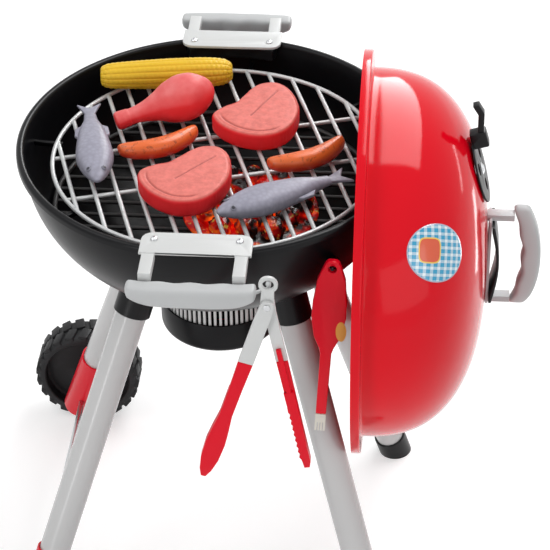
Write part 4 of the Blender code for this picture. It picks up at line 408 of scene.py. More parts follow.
def lathe(outline, steps, closed=False):
    """A turned shape: an outline of radii and heights spun round Z."""
    part = bmesh.new()
    verts = [part.verts.new((r, 0, z)) for r, z in outline]
    edges = [part.edges.new(pair) for pair in zip(verts, verts[1:])]
    if closed:
        edges.append(part.edges.new((verts[-1], verts[0])))
    bmesh.ops.spin(part, geom=verts + edges, cent=(0, 0, 0), axis=(0, 0, 1), angle=math.tau,
                   steps=steps, use_merge=True)
    return part


def bar(start, end, radius, sides=16):
    """A round bar between two points."""
    start, end = Vector(start), Vector(end)
    part = bmesh.new()
    bmesh.ops.create_cone(part, cap_ends=True, segments=sides, radius1=radius, radius2=radius,
                          depth=(end - start).length,
                          matrix=Matrix.Translation((start + end) / 2) @ aimed(end - start))
    return part


def block(centre, size, turn=0.0):
    """A box with a centre and sizes, turned about Z by degrees."""
    part = bmesh.new()
    put = turned('Z', turn) @ Matrix.Translation(centre)
    bmesh.ops.create_cube(part, size=1, matrix=put @ Matrix.Diagonal((*size, 1)))
    return part


def loft(rings):
    """A closed body through rings of points."""
    part = bmesh.new()
    loops = []
    for ring in rings:
        verts = [part.verts.new(point) for point in ring]
        loops.append([part.edges.new((verts[k - 1], verts[k])) for k in range(len(verts))])
    for lower, upper in zip(loops, loops[1:]):
        bmesh.ops.bridge_loops(part, edges=lower + upper)
    for loop in (loops[0], loops[-1]):
        bmesh.ops.edgeloop_fill(part, edges=loop)
    return part


def oval(wide, high, power, count):
    """Points across X of a rounded oval, given half its width and height."""
    points = []
    for step in range(count):
        c, s = math.cos(math.tau * step / count), math.sin(math.tau * step / count)
        points.append(Vector((0, math.copysign(abs(c) ** power, c) * wide,
                              math.copysign(abs(s) ** power, s) * high)))
    return points


def pipe(points, radius, sides=12):
    """A bent round wire through points, with domed ends."""
    points = [Vector(point) for point in points]
    rings = []
    side = None
    for index, point in enumerate(points):
        way = (points[min(index + 1, len(points) - 1)] - points[max(index - 1, 0)]).normalized()
        side = way.orthogonal() if side is None else side - way * side.dot(way)
        side.normalize()
        ring = [point + Matrix.Rotation(math.tau * k / sides, 3, way) @ side * radius
                for k in range(sides)]
        rings.append(ring)
        if index in (0, len(points) - 1):
            out = way * radius if index else -way * radius
            for rise, narrow in ((0.5, 0.8), (0.9, 0.35)):
                extra = [point + out * rise + (corner - point) * narrow for corner in ring]
                rings.insert(0, extra) if index == 0 else rings.append(extra)
    return loft(rings)


def slab(outline, depth, holes=()):
    """A flat body: an outline, less its holes, from Z 0 up to a depth."""
    part = bmesh.new()
    edges = []
    for line in (outline, *holes):
        verts = [part.verts.new((x, y, 0)) for x, y in line]
        edges += [part.edges.new((verts[k - 1], verts[k])) for k in range(len(verts))]
    if holes:
        bmesh.ops.triangle_fill(part, use_beauty=True, use_dissolve=True, edges=edges)
    else:
        bmesh.ops.edgeloop_fill(part, edges=edges)
    made = bmesh.ops.extrude_face_region(part, geom=part.faces[:], use_keep_orig=True)
    lifted = [item for item in made["geom"] if isinstance(item, bmesh.types.BMVert)]
    bmesh.ops.translate(part, vec=(0, 0, depth), verts=lifted)
    return part


def soften(part, width, segments=2, sharpest=30.0):
    """Rounds the edges that are sharper than an angle in degrees."""
    bmesh.ops.recalc_face_normals(part, faces=part.faces)
    edges = [edge for edge in part.edges
             if edge.is_manifold and edge.calc_face_angle() > math.radians(sharpest)]
    bmesh.ops.bevel(part, geom=edges, offset=width, offset_type='OFFSET', segments=segments,
                    profile=0.5, affect='EDGES', material=-1, clamp_overlap=True)
    return part


def copied(node, width=0.0, segments=2, sharpest=30.0):
    """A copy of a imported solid, its flat faces merged and its edges rounded."""
    part = bmesh.new()
    part.from_mesh(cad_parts[node].data)
    bmesh.ops.dissolve_limit(welded(part), angle_limit=math.radians(1), verts=part.verts, edges=part.edges)
    return soften(part, width, segments, sharpest) if width else part


def moved(part, matrix):
    """A shape put in its place."""
    bmesh.ops.transform(part, matrix=matrix, verts=part.verts)
    return part


def taken(part, mesh_maker):
    """Runs a maker on a temporary mesh of a shape, and clears the shape."""
    mesh = bpy.data.meshes.new("shape")
    part.to_mesh(mesh)
    part.free()
    made = mesh_maker(mesh)
    bpy.data.meshes.remove(mesh)
    return made


def carved(part, tool):
    """A shape less another shape."""
    def cut(mesh, tool_mesh):
        body = bpy.data.objects.new("body", mesh)
        cutter = bpy.data.objects.new("cutter", tool_mesh)
        for item in (body, cutter):
            bpy.context.scene.collection.objects.link(item)
        modifier = body.modifiers.new("cut", 'BOOLEAN')
        modifier.operation = 'DIFFERENCE'
        modifier.solver = 'EXACT'
        modifier.object = cutter
        graph = bpy.context.evaluated_depsgraph_get()
        made = bmesh.new()
        made.from_mesh(body.evaluated_get(graph).data)
        for item in (body, cutter):
            bpy.data.objects.remove(item)
        return made
    for item in (part, tool):
        bmesh.ops.recalc_face_normals(welded(item), faces=item.faces)
    return taken(part, lambda mesh: taken(tool, lambda tool_mesh: cut(mesh, tool_mesh)))


def placed(name, part, material):
    """An object made of a shape, with a material."""
    mesh = bpy.data.meshes.new(name)
    part.to_mesh(mesh)
    part.free()
    mesh.materials.append(material)
    item = bpy.data.objects.new(name, mesh)
    bpy.context.scene.collection.objects.link(item)
    return item


def shaped(name, parts, body, look, node=None, sharp=35.0):
    """One piece of shapes, with a finish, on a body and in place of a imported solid."""
    whole = bmesh.new()
    for part in parts:
        bmesh.ops.recalc_face_normals(welded(part), faces=part.faces)
        taken(part, whole.from_mesh)
    piece = placed(name, whole, finish(look))
    piece.data.shade_smooth()
    piece.data.set_sharp_from_angle(angle=math.radians(sharp))
    if node:
        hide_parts(node)
    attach(piece, body)
    return piece


def fine_copies(*rows):
    """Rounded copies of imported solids. A row gives the piece, solid, body, finish and rounding."""
    for name, node, body, look, *rounding in rows:
        shaped(name, [copied(node, *rounding)], body, look, node, 40)


def painted(look, *nodes):
    """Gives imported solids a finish."""
    for node in nodes:
        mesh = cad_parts[node].data
        mesh.materials.clear()
        mesh.materials.append(finish(look))


def valued(piece, name, values):
    """Stores a value between 0 and 1 on each point of a piece, from a list or a rule."""
    if callable(values):
        values = map(values, piece.data.vertices)
    layer = piece.data.attributes.new(name, 'FLOAT', 'POINT')
    for value, item in zip(values, layer.data):
        item.value = min(max(value, 0.0), 1.0)


def spread(vert, share_out):
    """Moves a point from or to the Z axis by a share of its distance."""
    vert.co.x *= share_out
    vert.co.y *= share_out


# Finishes

class Nodes:
    """A material's nodes, linked as they are made."""

    def __init__(self, name, **surface):
        self.material = bpy.data.materials.new(name)
        self.material.use_nodes = True
        self.tree = self.material.node_tree
        self.surface = self.tree.nodes["Principled BSDF"]
        for socket, value in surface.items():
            self.set(self.surface, socket.replace("_", " "), value)
        self.coordinates = self.tree.nodes.new('ShaderNodeTexCoord').outputs["Object"]

    def set(self, node, socket, value):
        """Sets or links one input."""
        socket = node.inputs[socket]
        if isinstance(value, bpy.types.NodeSocket):
            self.tree.links.new(value, socket)
        elif socket.type == 'RGBA':
            socket.default_value = (*value[:3], 1)
        else:
            socket.default_value = value

    def make(self, kind, settings=None, **inputs):
        """A node with its settings and inputs."""
        node = self.tree.nodes.new(kind)
        for name, value in (settings or {}).items():
            setattr(node, name, value)
        for socket, value in inputs.items():
            self.set(node, int(socket[1:]) if socket[1:].isdigit() else socket.replace("_", " "), value)
        return node

    def noise(self, scale, detail=2.0, roughness=0.5, vector=None):
        """A noise of so many waves a metre."""
        return self.make('ShaderNodeTexNoise', Vector=vector or self.coordinates, Scale=scale,
                         Detail=detail, Roughness=roughness).outputs["Fac"]

    def stretched(self, size):
        """Object coordinates stretched by shares."""
        return self.make('ShaderNodeMapping', Vector=self.coordinates, Scale=size).outputs[0]

    def math(self, operation, a, b=0.0):
        """A sum, product or other result of two values."""
        return self.make('ShaderNodeMath', {"operation": operation}, i0=a, i1=b).outputs[0]

    def ranged(self, value, low, high, to_low=0.0, to_high=1.0):
        """A value from one range put into another, and held there."""
        return self.make('ShaderNodeMapRange', Value=value, From_Min=low, From_Max=high,
                         To_Min=to_low, To_Max=to_high).outputs[0]

    def mixed(self, factor, a, b):
        """A mix of two colours."""
        node = self.make('ShaderNodeMix', {"data_type": 'RGBA'}, Factor=factor)
        self.set(node, 6, a)
        self.set(node, 7, b)
        return node.outputs[2]

    def attribute(self, name):
        """A value stored on the piece's points."""
        return self.make('ShaderNodeAttribute', {"attribute_name": name}).outputs["Fac"]

    def glow(self, tint, strength):
        """Makes the surface shine in a colour."""
        self.set(self.surface, "Emission Color", tint)
        self.set(self.surface, "Emission Strength", strength)

    def done(self, tint, grain, depth, strength=1.0):
        """Gives the surface its colour and grain, and hands the material over."""
        self.set(self.surface, "Base Color", tint)
        bump = self.make('ShaderNodeBump', Height=grain, Distance=depth, Strength=strength)
        self.set(self.surface, "Normal", bump.outputs[0])
        return self.material

    def varied(self, tint, amount, scale):
        """A colour that drifts a little lighter and darker."""
        return self.mixed(self.noise(scale, 3.0), [c * (1 - amount) for c in tint],
                          [min(c * (1 + amount), 1) for c in tint])


def moulded(name, tint, roughness, amount=0.06, grain=900.0, depth=0.00004, gloss=0.5, metallic=0.0):
    """A moulded plastic: a tint that drifts, a fine grain and uneven gloss."""
    look = Nodes(name, Metallic=metallic, Specular_IOR_Level=gloss)
    look.set(look.surface, "Roughness",
             look.ranged(look.noise(60.0), 0.3, 0.7, roughness * 0.95, roughness * 1.05))
    return look.done(look.varied(tint, amount, 14.0), look.noise(grain), depth)


def finish(name):
    """A finish by its name, made once."""
    if name not in MADE:
        MADE[name] = FINISHES[name][1](bpy.context.scene.grill.colours)
    return MADE[name]


def make_tread(colours):
    """Dull black of the wheels, dusty in its hollows."""
    look = Nodes("wheel_black", Roughness=0.55, Specular_IOR_Level=0.3)
    dust = look.ranged(look.noise(45.0, 5.0), 0.55, 0.8)
    return look.done(look.mixed(dust, colours.tread, [c * 3 for c in colours.tread]),
                     look.noise(1400.0, 2.0), 0.00008)


def make_wire(colours):
    """Silver-grey paint on the cooking grate, with soot specks."""
    look = Nodes("grate_wire", Roughness=0.34, Metallic=0.15)
    soot = look.ranged(look.noise(220.0, 4.0), 0.62, 0.8)
    return look.done(look.mixed(soot, colours.wire, [c * 0.55 for c in colours.wire]),
                     look.noise(800.0), 0.00005)


def make_coal(_):
    """See-through coal: ember red with orange cores and a painted glow of its own (emission), burnt black
    towards the near right.
    """
    look = Nodes("ember_coal", Roughness=0.26)
    glow = look.noise(75.0, 3.0)
    ember = look.mixed(look.ranged(glow, 0.50, 0.68), (0.72, 0.006, 0.004), (0.95, 0.17, 0.012))
    hot = look.ranged(look.noise(170.0, 2.0), 0.64, 0.72)
    ember = look.mixed(hot, ember, (1.0, 0.62, 0.10))
    spot = look.make('ShaderNodeSeparateXYZ', Vector=look.coordinates).outputs
    aside = look.math('SUBTRACT', spot["X"], look.math('MULTIPLY', spot["Y"], 1.1))
    burnt = look.math('ADD', look.attribute("crown"), look.ranged(aside, 0.045, 0.085, 0.0, 1.5))
    ash = look.math('MULTIPLY', look.math('MINIMUM', burnt, 1.0),
                    look.ranged(look.noise(48.0, 4.0), 0.42, 0.54))
    # Painted glow: heat is the strength of the coals' own emission, strongest in the bright noise and gone
    # where they are ash black.
    heat = look.ranged(glow, 0.40, 0.70, 0.12, 0.62)
    look.glow(ember, look.math('MULTIPLY', heat, look.math('SUBTRACT', 1.0, ash)))
    return look.done(look.mixed(ash, ember, (0.022, 0.020, 0.020)), look.noise(260.0, 4.0), 0.0006)


def make_corn(colours):
    """Corn yellow, with painted shade between the kernels."""
    look = Nodes("corn_yellow", Roughness=0.36, Specular_IOR_Level=0.25)
    hollow = look.attribute("hollow")
    base = look.varied(colours.corn, 0.10, 35.0)
    # Painted shade: the hollows between the kernels are mixed towards a darker orange.
    return look.done(look.mixed(look.math('MULTIPLY', hollow, 0.42), base, (0.76, 0.40, 0.012)),
                     look.noise(700.0), 0.00006)


def make_drumstick(colours):
    """Roast red, with painted light: paler and rosier on the faces that look up."""
    look = Nodes("drumstick_red", Roughness=0.42, Specular_IOR_Level=0.25)
    top = look.attribute("upper")
    mottle = look.noise(70.0, 4.0)
    # Painted light: a paler, rosier copy of the red for faces that look up; the mottle is the plastic's own
    # tone.
    rosy = look.mixed(look.ranged(mottle, 0.35, 0.65), (0.80, 0.125, 0.125), (0.86, 0.205, 0.20))
    return look.done(look.mixed(top, look.varied(colours.drumstick, 0.12, 50.0), rosy),
                     look.noise(320.0, 4.0), 0.00025)


def make_steak(colours):
    """Steak: a rosy mottled top that is a paler, painted-light copy of the dark red side, and dark incised
    lines.
    """
    look = Nodes("steak_meat", Roughness=0.46, Specular_IOR_Level=0.25)
    mottle = look.ranged(look.noise(160.0, 5.0, 0.6), 0.35, 0.65)
    top = look.mixed(mottle, colours.meat, [min(c * 1.18 + 0.02, 1) for c in colours.meat])
    side = look.varied(colours.crust, 0.15, 60.0)
    # Painted light: the top face takes the paler top red, and the other faces take the side red.
    body = look.mixed(look.attribute("upper"), side, top)
    line = look.math('MULTIPLY', look.attribute("line"), 0.72)
    return look.done(look.mixed(line, body, (0.26, 0.045, 0.035)), look.noise(420.0, 4.0), 0.00018)


def make_sausage(colours):
    """Sausage: orange-red, darker red on its lower faces as painted shade, with brown flecks along its
    upper side.
    """
    look = Nodes("sausage_skin", Roughness=0.34)
    flecks = look.ranged(look.noise(210.0, 5.0, 0.65), 0.54, 0.66)
    brown = look.math('MULTIPLY', look.attribute("upper"), look.math('MULTIPLY', flecks, 0.65))
    # Painted shade: faces that look down are mixed towards a darker red.
    base = look.mixed(look.attribute("upper"), (0.75, 0.050, 0.020), colours.sausage)
    return look.done(look.mixed(brown, base, (0.20, 0.035, 0.010)), look.noise(380.0, 3.0), 0.00015)


def make_fish(colours):
    """Fish: grey-lilac with scales that darken towards their edges as painted shade, a back painted paler
    as painted light, and dark eyes.
    """
    look = Nodes("fish_skin", Roughness=0.38, Specular_IOR_Level=0.25)
    scales = look.make('ShaderNodeTexVoronoi', {"feature": 'F1'}, Vector=look.stretched((1, 1, 0.6)),
                       Scale=260.0).outputs["Distance"]
    # Painted shade: each scale darkens towards its edge.
    shade = look.ranged(scales, 0.0, 0.75, 1.06, 0.86)
    # Painted light: faces that look up get a paler copy of the grey-lilac.
    base = look.mixed(look.attribute("upper"), colours.fish, [min(c * 1.35, 1) for c in colours.fish])
    toned = look.make('ShaderNodeVectorMath', {"operation": 'SCALE'}, Vector=base, Scale=shade).outputs[0]
    return look.done(look.mixed(look.attribute("dark"), toned, (0.04, 0.04, 0.05)), scales, 0.00022, 0.7)


def make_sticker(_):
    """Sticker: blue and white gingham round a plain warm panel, under a glossy film."""
    look = Nodes("gingham_sticker", Roughness=0.22, Coat_Weight=0.5, Coat_Roughness=0.08)
    spot = look.make('ShaderNodeUVMap', {"uv_map": "face"}).outputs[0]
    split = look.make('ShaderNodeSeparateXYZ', Vector=spot)
    stripes = []
    for axis in ("X", "Y"):
        wave = look.math('FRACT', look.math('MULTIPLY', split.outputs[axis], 4.3))
        stripes.append(look.math('GREATER_THAN', wave, 0.42))
    both = look.math('MULTIPLY', look.math('ADD', *stripes), 0.5)
    cloth = look.mixed(both, (0.84, 0.93, 0.96), (0.02, 0.36, 0.62))
    reach = []
    for axis, middle, half in (("X", -0.27, 0.36), ("Y", -0.08, 0.44)):
        aside = look.math('ABSOLUTE', look.math('SUBTRACT', split.outputs[axis], middle))
        reach.append(look.math('DIVIDE', aside, half))
    corner = look.math('ADD', look.math('POWER', reach[0], 4.0), look.math('POWER', reach[1], 4.0))
    trim = look.mixed(look.ranged(corner, 0.62, 0.66), (0.78, 0.10, 0.03), (0.95, 0.62, 0.10))
    plain = look.math('LESS_THAN', corner, 1.0)
    face = look.mixed(plain, cloth, trim)
    radius = look.make('ShaderNodeVectorMath', {"operation": 'LENGTH'}, Vector=spot).outputs["Value"]
    return look.done(look.mixed(look.math('GREATER_THAN', radius, 0.955), face, (0.42, 0.45, 0.58)),
                     look.noise(500.0), 0.00003)


# Each finish: the name of its material slot, and its maker
FINISHES = {
    "black": ("black_plastic", lambda c: moulded("bowl_black", c.black, 0.30, 0.10, 700.0, 0.00003, 0.15)),
    "black_satin": ("black_plastic", lambda c: moulded("satin_black", c.black, 0.36, 0.10, gloss=0.2)),
    "tread": ("black_plastic", make_tread),
    "white": ("white_plastic", lambda c: moulded("satin_white", c.white, 0.38, 0.02)),
    "tube": ("grey_plastic", lambda c: moulded("tube_grey", c.tube, 0.22, 0.02, 500.0, 0.00001)),
    "arm": ("white_plastic", lambda c: moulded("arm_grey", c.arm, 0.40, 0.03)),
    "grip": ("grip_plastic", lambda c: moulded("grip_grey", c.grip, 0.46, 0.04, 1100.0, 0.00008)),
    "red": ("red_plastic", lambda c: moulded("utensil_red", c.cup, 0.30, 0.04, 900.0, 0.00002, 0.2)),
    "lid_red": ("lid_red_plastic", lambda c: moulded("lid_red", c.red, 0.10, 0.03, 300.0, 0.00001, 0.16)),
    "wire": ("grey_plastic", make_wire),
    "coal_wire": ("dark_grey_plastic", lambda c: moulded("coal_wire", c.coal_wire, 0.42, 0.15)),
    "steel": ("steel", lambda c: moulded("steel", c.steel, 0.28, 0.05, 1500.0, 0.00003, metallic=1.0)),
    "board": (None, lambda c: moulded("board_green", c.board, 0.45)),
    "cell": (None, lambda c: moulded("cell_sleeve", c.cell, 0.35)),
    "coal": ("glowing_coal_plastic", make_coal),
    "corn": ("corn_plastic", make_corn),
    "drumstick": ("drumstick_plastic", make_drumstick),
    "steak": ("steak_plastic", make_steak),
    "sausage": ("sausage_plastic", make_sausage),
    "fish": ("fish_plastic", make_fish),
    "sticker": (None, make_sticker),
    "dot": (None, lambda c: moulded("oval_yellow", c.dot, 0.4, 0.16)),
    "brush_tip": ("brush_tip_plastic",
                  lambda c: moulded("tip_cream", c.brush_tip, 0.42, 0.05, 600.0, 0.0001)),
}
MADE = {}


# Shared shapes of the grill

def bowl_line(bowl, count=30):
    """The bowl's inner wall, from the edge of its floor up to the rim's roll."""
    low = math.acos((bowl.floor_radius / bowl.radius) ** (bowl.power / 2))
    high = math.asin((bowl.roll / bowl.depth) ** (bowl.power / 2))
    return quarter(bowl.radius, bowl.depth, bowl.power, low, high, count)


def grip_shape(handles, bend=0.0):
    """A grip along X: thinner and set back at its ends, with waves for the fingers."""
    rings = []
    half = handles.grip_length / 2
    count = 36
    for station in range(count + 1):
        along = -math.cos(math.pi * station / count)
        outer = -handles.grip_reach + handles.grip_bow * along ** 4
        inner = -handles.grip_reach + handles.grip_width
        wave = handles.wave * (1 - math.cos(2 * math.tau * along)) / 2 * (1 - along ** 2)
        height = handles.grip_height + (handles.grip_end_height - handles.grip_height) * abs(along) ** 5
        end = max(abs(along) - 0.955, 0) / 0.045
        tight = math.sqrt(max(1 - 0.75 * end ** 2, 0))
        wide, high = (inner - outer - wave) / 2 * tight, height / 2 * tight
        middle = (inner - wave + outer) / 2 + bend * along ** 2
        centre = Vector((half * along, middle, -handles.grip_top - height / 2))
        rings.append([centre + point for point in oval(wide, high, 0.55, 28)])
    return loft(rings)


def peg_line(hole, hole_radius, thickness, reach):
    """A point on a utensil hook's axis, at a reach from the hole of what hangs there."""
    slope = math.tan(HOOK_SLOPE)
    height = hole[2] + hole_radius - GAP - HOOK_WIRE / math.cos(HOOK_SLOPE) - slope * thickness / 2
    return Vector((hole[0], hole[1] - reach, height + slope * reach))


def leg_line(legs, x_side, y_side):
    """A leg's axis: a function that gives its point at a depth, and its way down."""
    slope = legs.left_slope if x_side < 0 else legs.right_slope
    way = Vector((slope[0], slope[1] * y_side, -1))
    start = Vector((legs.spread_x * x_side, legs.spread_y * y_side, -legs.depth))
    return lambda depth: start + way * (depth - legs.depth), way


def skin_tool(bowl):
    """A turned shape that fills the bowl, up to a gap outside its skin."""
    wall = bowl_line(bowl)
    skin = beside([(0, wall[0][1])] + wall, bowl.wall + GAP)
    skin[0] = (0, skin[1][1])
    return moved(lathe(skin + [(0, skin[-1][1])], 120), RIM)


def upright(start, way):
    """The place of a turned shape whose axis starts at a point and runs along a way."""
    return RIM @ Matrix.Translation(start) @ aimed(way)


def lid_place(lid):
    """The lid's frame: its axis points away from the bowl."""
    return RIM @ Matrix.Translation(lid.at) @ turned('Y', 90)


def lid_line(lid, count=44):
    """The lid's outer skin, from its crown to its flange."""
    end = math.asin((lid.wall / lid.depth) ** (lid.power / 2))
    line = [(r, -z) for r, z in quarter(lid.radius, lid.depth, lid.power, math.pi / 2, end, count)]
    line[0] = (0, lid.depth)
    return line


def lid_skin(lid, radius):
    """The height of the lid's skin at a radius, and its outward normal in the radius's plane."""
    height = lid.depth * (1 - (radius / lid.radius) ** lid.power) ** (1 / lid.power)
    normal = Vector((radius ** (lid.power - 1) / lid.radius ** lid.power,
                     height ** (lid.power - 1) / lid.depth ** lid.power)).normalized()
    return height, normal


# Operators

class GrillOperator:
    """What the grill's operators share."""
    bl_options = {'REGISTER', 'UNDO'}

    def execute(self, context):
        """Builds the pieces and reports that they are done."""
        self.build(context.scene.grill)
        return {'FINISHED'}


class GRILL_OT_bowl(GrillOperator, Operator):
    """Build the bowl with its rolled rim, ledges, pegs and brush hook"""
    bl_idname = "grill.bowl"
    bl_label = "Bowl"

    def build(self, grill):
        bowl = grill.bowl
        wall = bowl_line(bowl)
        roll = arc((bowl.radius + bowl.roll, -bowl.roll), bowl.roll, 180, 0, 12)
        end = (bowl.radius + 2 * bowl.roll, -bowl.roll - bowl.skirt)
        line = [(bowl.lead_hole, wall[0][1])] + wall[:-1] + roll + [end]
        parts = [lathe(walled(line, bowl.wall), 160, closed=True)]
        for middle in (270, 90):
            swing = math.degrees(bowl.ledge_angle)
            outline = arc((0, 0), bowl.radius + bowl.wall / 2, middle - swing, middle + swing, 24)
            outline += arc((0, 0), bowl.radius - bowl.ledge_depth, middle + swing, middle - swing, 24)
            ledge = soften(slab(outline, bowl.ledge_height), 0.0012, 3)
            parts.append(moved(ledge, Matrix.Translation((0, 0, -bowl.ledge_height))))
        grates = grill.grates
        inner = grates.radius - 2 * grates.wire
        outer = bowl.radius - bowl.wall / 2
        for index in range(bowl.pegs):
            centre = ((inner + outer) / 2, 0, -grates.depth - grates.wire - GAP - bowl.peg_height / 2)
            size = (outer - inner, bowl.peg_width, bowl.peg_height)
            turn = math.degrees(bowl.peg_angle) + index * 360 / bowl.pegs
            parts.append(soften(block(centre, size, turn), 0.0007, 2))
        hole = (bowl.radius * bowl.hook_aside, -bowl.radius * bowl.hook_out, -bowl.hook_drop)
        tip = peg_line(hole, bowl.brush_hole, bowl.brush_thickness, bowl.brush_thickness)
        skin = -math.sqrt((bowl.radius - bowl.wall) ** 2 - hole[0] ** 2)
        root = peg_line(hole, bowl.brush_hole, bowl.brush_thickness, hole[1] - skin)
        foot = root + (tip - root).normalized() * bowl.foot_length
        parts.append(pipe([root, (root + tip) / 2, tip], HOOK_WIRE, 16))
        parts.append(soften(bar(root, foot, bowl.hook_foot, 32), 0.0012, 3))
        parts = [moved(part, RIM) for part in parts]
        shaped("grill_bowl", parts, "grill", "black", "bowl", 50)


class GRILL_OT_handles(GrillOperator, Operator):
    """Build the side handles: plates, screws and grips, with the tongs' hook"""
    bl_idname = "grill.handles"
    bl_label = "Side handles"

    def build(self, grill):
        handles = grill.handles
        for side in ("near", "far"):
            node = "handle_bracket_" + side
            shaped("side_plate_" + side, [copied(node, handles.edge, 3)], "grill", "white", node)
            turn = RIM @ Matrix.Rotation(0 if side == "near" else math.pi, 4, 'Z')
            parts = [grip_shape(handles)]
            if side == "near":
                parts.append(self.hook(handles))
            shaped("side_grip_" + side, [moved(part, turn) for part in parts], "grill", "grip",
                   "handle_grip_" + side, 50)
            for count, x in enumerate((-handles.screw_place, handles.screw_place), 1):
                spot = Matrix.Translation((x, -handles.screw_reach, 0))
                self.screw(handles, f"{side}_{count}", turn @ spot)

    def hook(self, handles):
        """The bent wire at the near grip's end."""
        ring = (handles.grip_length / 2 + handles.ring_aside, -handles.ring_reach, handles.ring_rise)
        low = -handles.grip_top - handles.grip_end_height / 2
        inside, tip = (peg_line(ring, handles.ring_hole, handles.ring_thickness, reach)
                       for reach in (-handles.hook_reach, handles.hook_reach - HOOK_WIRE))
        start = Vector((handles.grip_length / 2 - 0.002, handles.grip_width / 2 - handles.grip_reach, low))
        bend = Vector((inside.x - HOOK_WIRE, inside.y, low))
        knee = Vector((inside.x, inside.y, low + 2 * HOOK_WIRE))
        return pipe(flowing([start, (start + bend) / 2, bend, knee, inside, tip], 5), HOOK_WIRE, 14)

    def screw(self, handles, name, matrix):
        """A domed screw head with a round recess, on its shank."""
        low, radius, high = 0.0031, handles.screw_radius, handles.screw_height
        recess, shank, end = 0.0010, 0.0015, -0.008
        floor = low + high * 2 / 3
        outline = [(0, floor), (recess * 0.9, floor), (recess, low + high)]
        outline += [(radius * r, low + high * z) for r, z in arc((0, 0), 1, 68, 0, 7)]
        outline += [(shank, low), (shank, end), (0, end)]
        shaped("plate_screw_" + name, [moved(lathe(outline, 32), matrix)], "grill", "steel",
               "handle_screw_" + name)


class GRILL_OT_legs(GrillOperator, Operator):
    """Build the four legs with their sockets, sleeves and foot caps"""
    bl_idname = "grill.legs"
    bl_label = "Legs"

    def build(self, grill):
        legs, bowl = grill.legs, grill.bowl
        bore = legs.radius + GAP
        for x_side, left in ((-1, "left"), (1, "right")):
            for y_side, front in ((-1, "front"), (1, "rear")):
                name = f"{front}_{left}"
                at, way = leg_line(legs, x_side, y_side)
                long = way.length
                put = upright(at(0), way)
                end = legs.left_end if x_side < 0 else legs.right_end
                inner = legs.radius - legs.wall
                outline = [(legs.radius, end * long), (legs.radius, legs.top * long),
                           (inner, legs.top * long), (inner, end * long)]
                shaped("leg_tube_" + name, [moved(lathe(outline, 56, True), put)], "grill", "tube",
                       "leg_" + name)
                self.socket(legs, bowl, name, put, long)
                if x_side < 0:
                    self.sleeve(legs, name, put, long, bore)
                else:
                    self.foot(legs, name, put, long, bore)

    def socket(self, legs, bowl, name, put, long):
        """The cup under the bowl, cut to the bowl's skin."""
        bore, outer = legs.radius + GAP, legs.radius + GAP + legs.socket_wall
        start, mouth = legs.socket_top * long, legs.socket_mouth * long
        top = legs.top * long - GAP
        outline = [(0, start), (outer, start), (outer, mouth - 0.0008), (outer - 0.0008, mouth),
                   (bore, mouth), (bore, top), (0, top)]
        cup = carved(moved(lathe(outline, 56), put), skin_tool(bowl))
        shaped("leg_cup_" + name, [cup], "grill", "black_satin", "leg_socket_" + name)

    def sleeve(self, legs, name, put, long, bore):
        """The red cup at a left leg's end."""
        outer = bore + legs.sleeve_wall
        mouth, seat = legs.sleeve_top * long, legs.left_end * long + GAP
        end = seat + legs.sleeve_end
        outline = [(0, seat), (bore, seat), (bore, mouth + 0.0006), (bore + 0.0006, mouth),
                   (outer - 0.0006, mouth), (outer, mouth + 0.0006)]
        edge = 0.0025
        outline += arc((outer - edge, end - edge), edge, 0, 90, 6) + [(0, end)]
        shaped("leg_end_" + name, [moved(lathe(outline, 56), put)], "grill", "red", "leg_sleeve_" + name)

    def foot(self, legs, name, put, long, bore):
        """The black cap at a right leg's end, cut level with the floor."""
        outer = bore + legs.foot_wall
        rim_height = RIM.translation.z
        mouth = (rim_height - legs.foot_height) * long
        seat = legs.right_end * long + GAP
        end = rim_height * long + outer
        outline = [(0, seat), (bore, seat), (bore, mouth), (outer - 0.001, mouth),
                   (outer, mouth + 0.001), (outer, end), (0, end)]
        part = welded(moved(lathe(outline, 56), put))
        bmesh.ops.bisect_plane(part, geom=part.verts[:] + part.edges[:] + part.faces[:], dist=1e-7,
                               plane_co=(0, 0, 0), plane_no=(0, 0, -1), clear_outer=True)
        bmesh.ops.holes_fill(part, edges=part.edges, sides=0)
        shaped("leg_foot_" + name, [part], "grill", "black_satin", "foot_cap_" + name)


